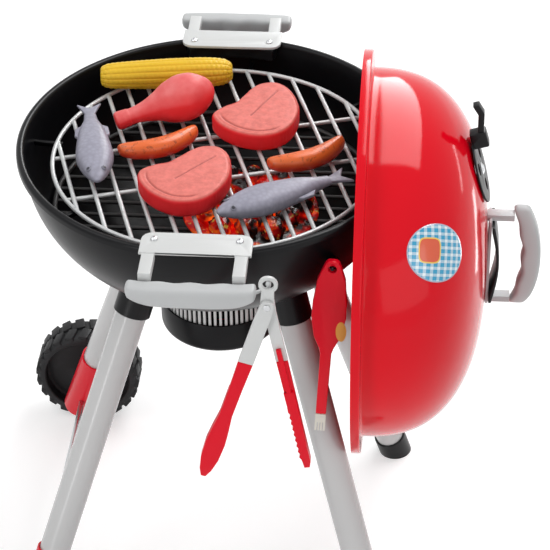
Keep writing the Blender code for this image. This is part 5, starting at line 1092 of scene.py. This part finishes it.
class GRILL_OT_wheels(GrillOperator, Operator):
    """Build the two wheels, the axle and its caps"""
    bl_idname = "grill.wheels"
    bl_label = "Wheels"

    def build(self, grill):
        wheels = grill.wheels
        low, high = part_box("axle")
        centre = (low + high) / 2
        for side, sign in (("near", -1), ("far", 1)):
            put = Matrix.Translation((centre.x, sign * wheels.reach, centre.z))
            put @= turned('X', -90 * sign)
            shaped("wheel_" + side + "_moulded", [moved(part, put) for part in self.wheel(wheels)],
                   "wheel_" + side, "tread", "wheel_" + side, 40)
            cap_low, cap_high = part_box("axle_cap_" + side)
            mouth = cap_low.y if sign > 0 else -cap_high.y
            depth = cap_high.y - cap_low.y
            bore, seat, edge = wheels.axle + GAP, mouth + 0.004, 0.0025
            outline = [(0, seat), (bore, seat), (bore, mouth), (wheels.cap, mouth)]
            outline += arc((wheels.cap - edge, mouth + depth - edge), edge, 0, 90, 8)
            outline += [(0, mouth + depth)]
            put = Matrix.Translation((centre.x, 0, centre.z))
            put @= turned('X', -90 * sign)
            shaped("axle_nut_" + side, [moved(lathe(outline, 40), put)], "grill", "black_satin",
                   "axle_cap_" + side)
        rod = soften(bar((centre.x, low.y, centre.z), (centre.x, high.y, centre.z), wheels.axle, 32),
                     0.0005)
        shaped("axle_rod", [rod], "grill", "steel", "axle")

    def wheel(self, wheels):
        """The shapes of a wheel whose axis is Z and whose outer side is up."""
        low = wheels.radius - wheels.lug_depth
        half, web = wheels.width / 2, wheels.web / 2
        bore, edge = wheels.axle + 0.00025, 0.004
        top = web + wheels.hub_outside
        outline = [(bore, top - 0.0006), (bore + 0.0006, top), (wheels.hub - 0.0015, top),
                   (wheels.hub, top - 0.0015), (wheels.hub, web + 0.001), (wheels.hub + 0.001, web),
                   (0.022, web), (0.0226, web + 0.0006), (0.0244, web + 0.0006), (0.025, web),
                   (wheels.recess - 0.002, web), (wheels.recess, web + 0.002), (wheels.recess,
                                                                                half - 0.001),
                   (wheels.recess + 0.001, half)]
        outline += arc((low - edge, half - edge), edge, 90, 0, 5)
        outline += arc((low - edge, edge - half), edge, 0, -90, 5)
        outline += [(wheels.recess + 0.001, -half), (wheels.recess, -half + 0.001),
                    (wheels.recess, -web - 0.002), (wheels.recess - 0.002, -web),
                    (wheels.hub + 0.001, -web), (wheels.hub, -web - 0.001),
                    (wheels.hub, -wheels.hub_inside + 0.001), (wheels.hub - 0.001, -wheels.hub_inside),
                    (bore, -wheels.hub_inside)]
        parts = [lathe(outline, 88, True)]
        pitch = 360 / wheels.lugs
        wide = math.tau * wheels.radius / wheels.lugs * 0.62
        high = wheels.lug_depth + edge
        for row, (base, slant) in enumerate(((half / 2, 14), (-half / 2, -14))):
            spot = Matrix.Translation((wheels.radius - high / 2 - 0.0002, 0, base)) @ turned('X', slant)
            for index in range(wheels.lugs):
                lug = soften(block((0, 0, 0), (high, wide, half * 0.92)), 0.0009, 2)
                parts.append(moved(lug, turned('Z', pitch * (index + row / 2)) @ spot))
        return parts


class GRILL_OT_dish(GrillOperator, Operator):
    """Build the slotted collar, the ash dish and the light under the bowl"""
    bl_idname = "grill.dish"
    bl_label = "Ash dish and light"

    def build(self, grill):
        dish, bowl = grill.dish, grill.bowl
        floor = -dish.rim - dish.height
        outer = dish.radius - GAP
        inner = outer - dish.collar_wall
        top, bottom = bowl_line(bowl)[0][1] + dish.collar_room, floor + dish.corner
        low = -dish.slots - dish.slot_height
        bands = [lathe([(inner, lower), (outer, lower), (outer, upper), (inner, upper)], 136, True)
                 for upper, lower in ((top, -dish.slots), (low, bottom))]
        parts = [carved(moved(bands[0], RIM), skin_tool(bowl)), moved(bands[1], RIM)]
        wide = math.tau * outer / dish.teeth * 0.50
        for index in range(dish.teeth):
            tooth = block(((inner + outer) / 2, 0, low + dish.slot_height / 2),
                          (dish.collar_wall * 0.92, wide, dish.slot_height + 0.001),
                          360 * index / dish.teeth)
            parts.append(moved(soften(tooth, 0.0004, 1), RIM))
        shaped("collar_teeth", parts, "grill", "white", "slotted_collar")

        line = [(dish.hole, floor)]
        line += arc((dish.radius - dish.corner, floor + dish.corner), dish.corner, -90, 0, 12)
        line += [(dish.radius, -dish.rim)]
        pot = soften(lathe(walled(line, dish.wall), 128, True), 0.0004, 2, 60)
        shaped("ash_catcher", [moved(pot, RIM)], "grill", "black", "ash_dish", 50)
        fine_copies(("light_key", "light_button", "light_button", "red", 0.0004))
        painted("black_satin", "battery_case", "battery_cover")
        painted("cell", "battery_cell_near", "battery_cell_far")
        painted("board", "lamp_board")


class GRILL_OT_grates(GrillOperator, Operator):
    """Build the cooking grate and the charcoal grate"""
    bl_idname = "grill.grates"
    bl_label = "Grates"

    def build(self, grill):
        grates = grill.grates
        put = RIM @ Matrix.Rotation(grates.turn, 4, 'Z')
        height = -grates.depth
        parts = [self.ring(grates.radius, height, grates.wire)]
        for index in range(-grates.bars, grates.bars + 1):
            y = index * grates.pitch
            half = math.sqrt(grates.radius ** 2 - y ** 2)
            parts.append(bar((-half, y, height), (half, y, height), grates.wire * 0.98, 14))
        low = height - grates.cross_drop
        for x in (-grates.cross_place, grates.cross_place):
            half = math.sqrt(grates.radius ** 2 - x ** 2)
            parts.append(bar((x, -half, low), (x, half, low), grates.wire * 0.98, 14))
        shaped("cooking_wires", [moved(part, put) for part in parts], "cooking_grate", "wire",
               "cooking_grate", 50)

        box_low, box_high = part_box("charcoal_grate")
        radius = (box_high.x - box_low.x) / 2 - grates.coal_wire
        height = box_high.z - RIM.translation.z - grates.coal_wire
        parts = [self.ring(radius, height, grates.coal_wire)]
        low = height - 0.0004
        for index in range(grates.coal_bars):
            for side in (-1, 1):
                y = side * grates.coal_pitch * radius * (index + 0.5)
                half = math.sqrt(radius ** 2 - y ** 2)
                parts.append(bar((-half, y, low), (half, y, low), grates.coal_bar * 0.95, 14))
        shaped("charcoal_wires", [moved(part, RIM) for part in parts], "grill", "coal_wire",
               "charcoal_grate", 50)

    def ring(self, radius, height, wire):
        """A ring of wire."""
        return lathe(arc((radius, height), wire, 0, 337.5, 15), 144, True)


class GRILL_OT_coals(GrillOperator, Operator):
    """Build the glowing coals on their tray"""
    bl_idname = "grill.coals"
    bl_label = "Coals"

    def build(self, grill):
        grates = grill.grates
        low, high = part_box("glowing_coals")
        centre = Vector((low.x + high.x, low.y + high.y, 0)) / 2
        top = low.z + grates.tray_thickness
        rounding = grates.tray_thickness * 0.4
        outline = [(0, 0), (grates.tray_radius - rounding, 0), (grates.tray_radius, rounding),
                   (grates.tray_radius, grates.tray_thickness - rounding),
                   (grates.tray_radius - rounding, grates.tray_thickness), (0, grates.tray_thickness)]
        parts = [moved(lathe(outline, 72), Matrix.Translation((centre.x, centre.y, low.z)))]
        number = 0
        for row in range(-2, 3):
            for column in range(-2, 3):
                x = grates.lump_pitch * (column + row % 2 / 2)
                y = grates.lump_pitch * row * math.sqrt(3) / 2
                if math.hypot(x, y) + grates.lump_room < grates.tray_radius:
                    spot = centre + Vector((x, y, top + grates.lump_room * 0.72))
                    parts.append(self.lump(spot, grates.lump, number, high.z))
                    number += 1
        piece = shaped("ember_coals", parts, "grill", "coal", "glowing_coals", 50)
        valued(piece, "crown", lambda v: (v.co.z - top - 0.006) / 0.006 * max(v.normal.z, 0) * 1.6)

    def lump(self, spot, radius, number, ceiling):
        """A rough lump with broken faces."""
        part = bmesh.new()
        bmesh.ops.create_icosphere(part, subdivisions=4, radius=radius)
        for vert in part.verts:
            away = vert.co.normalized()
            seed = Vector((number * 3.7, number * 1.3, 0))
            rough = noise.noise(away * 1.6 + seed) * 0.30 + noise.noise(away * 4.5 + seed) * 0.12
            cell = noise.voronoi(away * 1.9 + seed)[0][0]
            vert.co = away * radius * (0.92 + rough * 0.7 + (cell - 0.4) * 0.22)
            vert.co += spot
            vert.co.z = min(vert.co.z, ceiling)
        return part


class GRILL_OT_lid(GrillOperator, Operator):
    """Build the lid with its vent, grip, bracket, shield, hook and sticker"""
    bl_idname = "grill.lid"
    bl_label = "Lid"

    def build(self, grill):
        lid = grill.lid
        put = lid_place(lid)
        line = lid_line(lid)[:-1]
        step, edge = 0.0025, 0.0015
        line += arc((lid.radius + step, lid.wall + step), step, 180, 270, 5)
        line += arc((lid.flange - edge, lid.wall - edge), edge, 90, 0, 5)
        line += [(lid.flange, lid.wall - lid.band)]
        shell = lathe(walled(line, lid.wall), 192, closed=True)
        height, normal = lid_skin(lid, lid.vent_place)
        vent = put @ Matrix.Translation((-lid.vent_place, 0, height))
        vent @= aimed((-normal.x, 0, normal.y))
        for index in range(3):
            a = math.tau * index / 3
            x, y = lid.hole_place * math.cos(a), lid.hole_place * math.sin(a)
            hole = moved(bar((x, y, -0.008), (x, y, 0.008), lid.hole, 32), put.inverted() @ vent)
            shell = carved(shell, hole)
        shaped("lid_dome", [moved(shell, put)], "lid", "lid_red", "lid_shell", 50)
        fine_copies(("vent_disc", "vent_damper", "vent", "black_satin", 0.0006, 2, 40),
                    ("vent_pin", "vent_rivet", "lid", "steel", 0.0004, 2, 40),
                    ("lid_catch", "lid_hook", "lid", "tube", 0.0005),
                    ("lid_arms", "lid_bracket", "lid", "arm", 0.0008, 3),
                    ("lid_shield", "lid_heat_shield", "lid", "black_satin", 0.0007, 3, 40))
        handles = grill.handles
        middle = handles.grip_top + handles.grip_height / 2
        turn = put @ Matrix.Translation((0, middle, lid.grip_reach - handles.grip_reach))
        turn @= turned('X', -90)
        shaped("lid_handle_grip", [moved(grip_shape(handles, lid.grip_bend), turn)], "lid", "grip",
               "lid_grip", 50)
        self.sticker(lid, put)

    def sticker(self, lid, put):
        """A thin oval on the lid's skin, its face mapped from -1 to 1 both ways."""
        centre = put.inverted() @ (RIM @ Vector(lid.sticker_at))
        radius = math.hypot(centre.x, centre.y)
        height, normal = lid_skin(lid, radius)
        out = Vector((centre.x / radius, centre.y / radius, 0))
        outward = (out * normal.x + Vector((0, 0, normal.y))).normalized()
        across = Vector((0, 0, 1)).cross(out)
        along = outward.cross(across)
        start = out * radius + Vector((0, 0, height))
        part = welded(lathe([(k / 16, 0) for k in range(17)], 72))
        layer = part.loops.layers.uv.new("face")
        for face in part.faces:
            for loop in face.loops:
                loop[layer].uv = loop.vert.co.xy
        for vert in part.verts:
            spot = start + along * vert.co.x * lid.sticker_long + across * vert.co.y * lid.sticker_short
            for _ in range(6):
                r = math.hypot(spot.x, spot.y)
                level = (r / lid.radius) ** lid.power + (spot.z / lid.depth) ** lid.power - 1
                fall = (r ** (lid.power - 1) / lid.radius ** lid.power * Vector((spot.x / r, spot.y / r, 0))
                        + Vector((0, 0, spot.z ** (lid.power - 1) / lid.depth ** lid.power))) * lid.power
                spot -= fall * level / fall.length_squared
            vert.co = spot + fall.normalized() * 0.00035
        bmesh.ops.recalc_face_normals(part, faces=part.faces)
        if sum((face.normal.dot(outward) for face in part.faces)) < 0:
            bmesh.ops.reverse_faces(part, faces=part.faces)
        piece = placed("lid_sticker", moved(part, put), finish("sticker"))
        piece.data.shade_smooth()
        wall = piece.modifiers.new("film", 'SOLIDIFY')
        wall.thickness = 0.0002
        wall.offset = -1
        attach(piece, "lid")


class GRILL_OT_utensils(GrillOperator, Operator):
    """Build the tongs and the basting brush"""
    bl_idname = "grill.utensils"
    bl_label = "Tongs and brush"

    def build(self, grill):
        fine_copies(("tongs_ring", "tongs_yoke", "tongs", "white", 0.0005),
                    ("tongs_rivet", "tongs_pin", "tongs", "steel", 0.0003))
        for side in ("left", "right"):
            arm = "tongs_arm_" + side
            fine_copies(("tongs_bar_" + side, arm, arm, "white", 0.0007, 3),
                        ("tongs_jaw_" + side, "tongs_tip_" + side, arm, "red", 0.0008, 3))
        fine_copies(("brush_grip", "brush_handle", "brush", "red", 0.0016, 4, 50))
        spot = RIM @ Vector((grill.bowl.radius * grill.bowl.hook_aside + 0.0076, 0, -0.0962))
        spot.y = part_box("brush_handle")[0].y + 0.0001
        put = Matrix.Translation(spot) @ turned('X', 90)
        oval = lathe([(0, 0), (1, 0), (1, 0.7), (0.93, 1), (0, 1)], 48)
        shaped("brush_oval", [moved(oval, put @ Matrix.Diagonal((0.0046, 0.0106, 0.00035, 1)))],
               "brush", "dot")
        fine_copies(("brush_strands", "brush_tip", "brush", "brush_tip", 0.0003))


def food_place(grill, spot, turn, lift):
    """The frame of a piece of food, at shares of the grate's radius."""
    grates = grill.grates
    level = -grates.depth + grates.wire + GAP + lift
    return (RIM @ Matrix.Translation((spot[0] * grates.radius, spot[1] * grates.radius, level))
            @ turned('Z', turn))


class GRILL_OT_corn(GrillOperator, Operator):
    """Build the corn cob with its rows of kernels"""
    bl_idname = "grill.corn"
    bl_label = "Corn"

    def build(self, grill):
        food = grill.food
        shares = ((-1.0, 0.45), (-0.96, 0.68), (-0.82, 0.84), (-0.4, 0.94), (0.1, 1.0), (0.55, 0.99),
                  (0.84, 0.88), (0.96, 0.66), (1.0, 0.42))
        line = [(0.0, -1.0)] + [(w, a) for a, w in shares] + [(0.0, 1.0)]
        smooth = [(max(p.x, 0), p.y) for p in flowing(line, 20)]
        steps = food.corn_rows * 8
        part = welded(lathe([(r * food.corn_radius, a * food.corn_half) for r, a in smooth], steps))
        hollows = []
        for vert in part.verts:
            angle = math.atan2(vert.co.y, vert.co.x)
            radius = math.hypot(vert.co.x, vert.co.y)
            across = abs(math.sin(angle * food.corn_rows / 2))
            row = math.floor((angle / math.tau * food.corn_rows) % food.corn_rows)
            along = abs(math.sin(math.pi * (vert.co.z / (2 * food.corn_half) * food.corn_rings
                                            + row % 2 / 2)))
            hollow = 1 - across ** 0.45 * along ** 0.30
            full = min(radius / (0.5 * food.corn_radius), 1)
            if radius > WELD:
                spread(vert, 1 - food.corn_relief * hollow * full / radius)
            hollows.append(hollow * full)
        put = food_place(grill, (-0.386, 0.752), 7.2, food.corn_radius)
        put @= turned('Y', 90)
        piece = shaped("corn_cob", [moved(part, put)], "corn", "corn", "corn", 80)
        # Stores how deep each point lies between the kernels; the corn's finish turns this into painted
        # shade.
        valued(piece, "hollow", hollows)


class GRILL_OT_drumstick(GrillOperator, Operator):
    """Build the drumstick"""
    bl_idname = "grill.drumstick"
    bl_label = "Drumstick"

    def build(self, grill):
        food = grill.food
        shares = ((0.0, 0.30), (0.03, 0.40), (0.12, 0.40), (0.16, 0.37), (0.29, 0.44), (0.42, 0.62),
                  (0.54, 0.87), (0.69, 1.0), (0.83, 0.89), (0.94, 0.56), (0.985, 0.28))
        line = [(0.0, 0.0)] + [(w, a) for a, w in shares] + [(0.0, 1.0)]
        smooth = [(max(p.x, 0), p.y) for p in flowing(line, 10)]
        body = 0.69
        part = welded(lathe([(r * food.leg_radius, (a - body) * food.leg_length) for r, a in smooth], 72))
        for vert in part.verts:
            swell = noise.noise(vert.co * 42) * 0.0007 + noise.noise(vert.co * 120) * 0.0003
            radius = math.hypot(vert.co.x, vert.co.y)
            if radius > 0.003:
                spread(vert, (radius + swell - 0.0006) / radius)
            end = max(1 - (vert.co.z / food.leg_length + body) / 0.10, 0)
            vert.co.y *= 1 + 0.10 * end
        put = food_place(grill, (-0.237, 0.386), 22.4, food.leg_radius * 0.985)
        turn = put @ Matrix.Rotation(math.radians(90) - food.leg_tilt, 4, 'Y')
        piece = shaped("roast_drumstick", [moved(part, turn)], "drumstick", "drumstick", "drumstick", 80)
        # How far each face looks up, for the drumstick's painted light.
        valued(piece, "upper", lambda v: (v.normal.z - 0.15) / 0.75)


class GRILL_OT_steaks(GrillOperator, Operator):
    """Build the two steaks with their incised lines"""
    bl_idname = "grill.steaks"
    bl_label = "Steaks"

    def build(self, grill):
        for name, spot, turn in (("steak_right", (0.223, 0.332), -108.8),
                                 ("steak_left", (-0.142, -0.393), -123.8)):
            self.steak(grill, name, food_place(grill, spot, turn, grill.food.steak_height / 2))

    def steak(self, grill, name, put):
        """One steak, swollen from a turned puck to its outline."""
        food = grill.food
        corners = ((0.47, -0.83), (0.18, -0.71), (-0.04, -0.54), (-0.31, -0.49), (-0.63, -0.44),
                   (-0.86, -0.32), (-1.0, -0.05), (-0.92, 0.29), (-0.65, 0.63), (-0.27, 0.90),
                   (0.22, 1.0), (0.59, 0.88), (0.84, 0.54), (0.90, 0.10), (0.84, -0.29), (0.69, -0.63))
        steps = 192
        rim = flowing([(x * food.steak_long, y * food.steak_wide) for x, y in corners], 24, True)
        middle = Vector((0.002, 0.008))
        rim = [point - middle for point in rim]
        reach = []
        for step in range(steps):
            a = math.tau * step / steps
            way = Vector((math.cos(a), math.sin(a)))
            best = max(rim, key=lambda point: point.normalized().dot(way))
            reach.append(best.length)
        half, edge = food.steak_height / 2, 0.0052
        inside = 1 - edge / 0.040
        line = [(0, half)] + [(inside * k / 46, half) for k in range(1, 47)]
        line += [(inside + (1 - inside) * r, half - edge + edge * z) for r, z in arc((0, 0), 1, 84, 0, 9)]
        line += [(1, -half * 0.1)]
        line += [(inside + (1 - inside) * r, -half + edge + edge * z) for r, z in arc((0, 0), 1, 0, -90, 8)]
        line += [(0, -half)]
        part = welded(lathe(line, steps))
        lines = []
        start, end = Vector((0.015, 0.001)), Vector((-0.033, 0.0065))
        for vert in part.verts:
            share_out = math.hypot(vert.co.x, vert.co.y)
            angle = math.atan2(vert.co.y, vert.co.x) % math.tau
            place_at = angle / math.tau * steps
            low = int(place_at) % steps
            far = reach[low] + (reach[(low + 1) % steps] - reach[low]) * (place_at - int(place_at))
            if share_out > WELD:
                spread(vert, far)
            groove = 0.0
            if vert.co.z > half - 0.001 and share_out < 0.93:
                flat = vert.co.xy + middle
                along = max(min((flat - start).dot(end - start) / (end - start).length_squared, 1), 0)
                away = (flat - (start + (end - start) * along)).length
                groove = max(0, 1 - away / 0.0012)
                turn = (math.degrees(angle) + 180) % 360 - 180
                fade = min(max((turn + 62) / 12, 0), 1) * min(max((52 - turn) / 12, 0), 1)
                groove = max(groove, fade * max(0, 1 - abs((0.83 - share_out) * far) / 0.0013))
            if vert.co.z > half - 0.0005:
                crown = 0.0006 * (share_out / inside) ** 4
                vert.co.z -= crown + 0.0012 * groove + 0.00025 * (noise.noise(vert.co * 150) + 1)
            vert.co.x += middle.x
            vert.co.y += middle.y
            lines.append(groove)
        piece = shaped(name + "_meat", [moved(part, put)], name, "steak", name, 80)
        valued(piece, "line", lines)
        level = put.translation.z
        # Marks the top face, which the steak's finish paints lighter as painted light.
        valued(piece, "upper", lambda v: (v.co.z - level - half + 0.0030) / 0.0016)


class GRILL_OT_sausages(GrillOperator, Operator):
    """Build the two sausages"""
    bl_idname = "grill.sausages"
    bl_label = "Sausages"

    def build(self, grill):
        food = grill.food
        for name, spot, turn in (("sausage_left", (-0.339, -0.007), 29.9),
                                 ("sausage_right", (0.575, -0.088), 33.4)):
            put = food_place(grill, spot, turn, food.sausage_radius)
            half, radius = food.sausage_half, food.sausage_radius
            ends = [math.pi * step / 60 for step in range(61)]
            line = [(radius * math.sin(a) ** 0.45, -half * math.cos(a)) for a in ends]
            line[0], line[-1] = (0, -half), (0, half)
            part = welded(moved(lathe(line, 48), turned('Y', 90)))
            for vert in part.verts:
                along = vert.co.x / half
                vert.co *= 1 - 0.012 * (1 + noise.noise(vert.co * 110)) * (1 - along ** 4)
                vert.co.y += food.sausage_bend * (along ** 2 - 0.5)
            piece = shaped(name + "_skin", [moved(part, put)], name, "sausage", name, 80)
            # How far each face looks up, for the sausage's painted shade and its flecks.
            valued(piece, "upper", lambda v: (v.normal.z + 0.25) / 0.8)


class GRILL_OT_fish(GrillOperator, Operator):
    """Build the two fish with fins, forked tails and eyes"""
    bl_idname = "grill.fish"
    bl_label = "Fish"

    def build(self, grill):
        for name, spot, turn, sink in (("fish_left", (-0.752, -0.020), -78.4, 0.0010),
                                       ("fish_right", (0.452, -0.522), 210.7, 0.0)):
            self.fish(grill, name, food_place(grill, spot, turn, grill.food.fish_high - sink))

    def fish(self, grill, name, put):
        """One fish along X with its head at +X."""
        food = grill.food
        shares = ((-0.34, 0.34, 0.30), (-0.25, 0.42, 0.50), (-0.12, 0.72, 0.80), (0.08, 0.95, 1.0),
                  (0.22, 1.0, 0.97), (0.35, 0.76, 0.78), (0.44, 0.44, 0.46), (0.485, 0.20, 0.20),
                  (0.495, 0.08, 0.08))
        rings = []
        for along, wide, high in flowing(shares, 7):
            centre = Vector((food.fish_length * along, 0, 0))
            line = oval(food.fish_wide * wide, food.fish_high * high, 0.87, 36)
            rings.append([centre + point for point in line])
        fins = ((-0.49, 0.68), (-0.42, 0.45), (-0.33, 0.20), (-0.22, 0.34), (-0.17, 0.90),
                (-0.08, 0.95), (-0.02, 0.60), (0.30, 0.60))
        left = [(food.fish_length * x, food.fish_wide * y) for x, y in fins]
        outline = left + [(x, -y) for x, y in left[::-1]] + [(food.fish_length * -0.43, 0)]
        web = soften(slab(outline, 0.003), 0.0009, 2)
        parts = [loft(rings), moved(web, Matrix.Translation((0, 0, -0.0015)))]
        for side in (-1, 1):
            eye = lathe([(0, 0.0012)] + [(0.0026 * r, 0.0012 * z) for r, z in arc((0, 0), 1, 70, 0, 5)], 20)
            spot = (food.fish_length * 0.40, side * food.fish_wide * 0.42, food.fish_high * 0.50)
            aim = aimed((0.25, side * 0.55, 0.8))
            parts.append(moved(eye, Matrix.Translation(spot) @ aim))
        piece = shaped(name + "_scaled", [moved(part, put) for part in parts], name, "fish", name, 60)
        # How far each face looks up, for the fish's painted light.
        valued(piece, "upper", lambda v: (v.normal.z - 0.2) / 0.7)
        back = put.inverted()
        length_along = food.fish_length

        def dark(vertex):
            spot = back @ vertex.co
            eye = min((spot - Vector((length_along * 0.40, side * food.fish_wide * 0.42,
                                      food.fish_high * 0.55))).length for side in (-1, 1))
            return 1 - (eye - 0.0014) / 0.0008
        valued(piece, "dark", dark)


class GRILL_OT_studio(GrillOperator, Operator):
    """Build the floor, the lights and the camera"""
    bl_idname = "grill.studio"
    bl_label = "Studio"

    def build(self, grill):
        studio = grill.studio
        scene = bpy.context.scene
        scene.view_settings.view_transform = 'Standard'
        self.floor(studio)
        self.world(studio, scene)
        corners = ((0.1, 2.5, 0.92), (0.3, 2.5, 0.7), (1.6, 0.2, 2.4), (0.3, -0.06, 3.0))
        self.screen("overhead_screen", corners, studio.key, studio.shine)
        grill_at, rim_at, up = (0.05, 0.0, 0.42), (0.18, -0.06, 0.48), (0, 0, 1)
        for name, spot, target, size, brightness, long in (
                ("front_panel", (1.15, -1.60, 0.85), grill_at, (1.8, 1.0), studio.fill, up),
                ("left_strip", (-1.15, -1.85, 0.75), grill_at, (0.40, 1.5), studio.side, up),
                ("top_panel", (-1.2, -0.2, 2.2), grill_at, (1.2, 1.2), studio.top, up),
                ("upper_strip", (0.95, 0.58, 0.51), rim_at, (0.045, 0.30), studio.edge,
                 (0.125, -0.174, -0.192)),
                ("lower_strip", (0.68, 0.47, 0.13), rim_at, (0.06, 0.24), studio.edge,
                 (-0.04, -0.11, -0.18))):
            self.panel(name, Vector(spot), Vector(target), size, brightness, Vector(long))
        self.camera(studio, scene)

    def panel(self, name, spot, target, size, brightness, long):
        """A flat lamp that faces a point, its longer side as near as can be to a way."""
        lamp = bpy.data.lights.new(name, 'AREA')
        lamp.shape = 'RECTANGLE'
        lamp.size, lamp.size_y = size
        lamp.energy = brightness * math.pi * size[0] * size[1]
        item = bpy.data.objects.new(name, lamp)
        facing = (spot - target).normalized()
        across = long.cross(facing).normalized()
        item.matrix_world = (Matrix.Translation(spot)
                             @ Matrix((across, facing.cross(across), facing)).transposed().to_4x4())
        item.visible_camera = False
        bpy.context.scene.collection.objects.link(item)

    def screen(self, name, corners, brightness, shine):
        """A glowing four-sided screen, out of the camera's sight."""
        part = bmesh.new()
        bmesh.ops.contextual_create(part, geom=[part.verts.new(corner) for corner in corners])
        look = Nodes(name, Base_Color=(0, 0, 0), Specular_IOR_Level=0.0)
        mirrored = look.make('ShaderNodeLightPath').outputs["Is Glossy Ray"]
        look.glow((1, 1, 1), look.ranged(mirrored, 0.0, 1.0, brightness, brightness * shine))
        item = placed(name, part, look.material)
        item.visible_camera = False

    def floor(self, studio):
        """A pale floor that shows almost white where nothing shades it."""
        part = bmesh.new()
        bmesh.ops.create_circle(part, cap_ends=True, segments=96, radius=14)
        look = Nodes("floor_white", Roughness=0.7)
        look.set(look.surface, "Base Color", look.varied(studio.floor, 0.01, 3.0))
        path = look.make('ShaderNodeLightPath').outputs
        seen = look.math('MAXIMUM', path["Is Camera Ray"],
                         look.math('MAXIMUM', path["Is Glossy Ray"], path["Is Transmission Ray"]))
        away = look.make('ShaderNodeVectorMath', {"operation": 'LENGTH'}, i0=look.coordinates)
        glow = look.ranged(away.outputs["Value"], 0.9, 3.5, studio.floor_glow, studio.far_glow)
        look.glow((1, 1, 1), look.math('MULTIPLY', seen, glow))
        placed("studio_floor", part, look.material)

    def world(self, studio, scene):
        """Even light from all round, white where it is seen or mirrored."""
        world = bpy.data.worlds.new("studio_sky")
        world.use_nodes = True
        scene.world = world
        tree = world.node_tree
        back = tree.nodes["Background"]
        back.inputs["Color"].default_value = (1, 1, 1, 1)
        path = tree.nodes.new('ShaderNodeLightPath')
        seen = path.outputs["Is Camera Ray"]
        for ray in ("Is Glossy Ray", "Is Transmission Ray"):
            either = tree.nodes.new('ShaderNodeMath')
            either.operation = 'MAXIMUM'
            tree.links.new(seen, either.inputs[0])
            tree.links.new(path.outputs[ray], either.inputs[1])
            seen = either.outputs[0]
        level = tree.nodes.new('ShaderNodeMapRange')
        level.inputs["To Min"].default_value = studio.sky
        level.inputs["To Max"].default_value = 1.0
        tree.links.new(seen, level.inputs["Value"])
        tree.links.new(level.outputs[0], back.inputs["Strength"])

    def camera(self, studio, scene):
        """The camera at the photograph's place."""
        data = bpy.data.cameras.new("studio_camera")
        data.lens = studio.lens
        data.sensor_width = 36
        data.clip_start, data.clip_end = 0.05, 60
        back = Vector(studio.camera_back).normalized()
        right = (-back).cross(Vector((0, 0, 1))).normalized()
        up = right.cross(-back)
        c, s = math.cos(studio.roll), math.sin(studio.roll)
        matrix = Matrix((right * c + up * s, up * c - right * s, back)).transposed().to_4x4()
        matrix.translation = RIM.translation + Vector(studio.camera_at)
        camera = bpy.data.objects.new("studio_camera", data)
        camera.matrix_world = matrix
        scene.collection.objects.link(camera)
        scene.camera = camera


OPERATORS = (GRILL_OT_studio, GRILL_OT_bowl, GRILL_OT_handles, GRILL_OT_legs, GRILL_OT_wheels,
             GRILL_OT_dish, GRILL_OT_grates, GRILL_OT_coals, GRILL_OT_lid, GRILL_OT_utensils,
             GRILL_OT_corn, GRILL_OT_drumstick, GRILL_OT_steaks, GRILL_OT_sausages, GRILL_OT_fish)
GROUPS = (BowlSettings, HandleSettings, LegSettings, WheelSettings, DishSettings, GrateSettings,
          LidSettings, FoodSettings, ColourSettings, StudioSettings, GrillSettings)


class GRILL_PT_pieces(Panel):
    """The grill's settings and buttons."""
    bl_idname = "GRILL_PT_pieces"
    bl_label = "Toy Barbecue Grill"
    bl_space_type = 'VIEW_3D'
    bl_region_type = 'UI'
    bl_category = "Grill"

    def draw(self, context):
        for name, settings in context.scene.grill.bl_rna.properties.items():
            if settings.type != 'POINTER' or name == "rna_type":
                continue
            box = self.layout.box()
            box.label(text=name.capitalize())
            group = getattr(context.scene.grill, name)
            for item in group.bl_rna.properties.keys():
                if item not in {"rna_type", "name"}:
                    box.prop(group, item)
        for operator in OPERATORS:
            self.layout.operator(operator.bl_idname)


def register():
    """Registers the settings, the operators and the panel."""
    for item in (*GROUPS, *OPERATORS, GRILL_PT_pieces):
        bpy.utils.register_class(item)
    bpy.types.Scene.grill = PointerProperty(type=GrillSettings)


def unregister():
    """Removes what register added."""
    del bpy.types.Scene.grill
    for item in reversed((*GROUPS, *OPERATORS, GRILL_PT_pieces)):
        bpy.utils.unregister_class(item)


def main():
    """Builds every piece in order."""
    register()
    bpy.ops.grill.studio()
    bpy.ops.grill.bowl()
    bpy.ops.grill.handles()
    bpy.ops.grill.legs()
    bpy.ops.grill.wheels()
    bpy.ops.grill.dish()
    bpy.ops.grill.grates()
    bpy.ops.grill.coals()
    bpy.ops.grill.lid()
    bpy.ops.grill.utensils()
    bpy.ops.grill.corn()
    bpy.ops.grill.drumstick()
    bpy.ops.grill.steaks()
    bpy.ops.grill.sausages()
    bpy.ops.grill.fish()


if __name__ == "__main__":
    main()
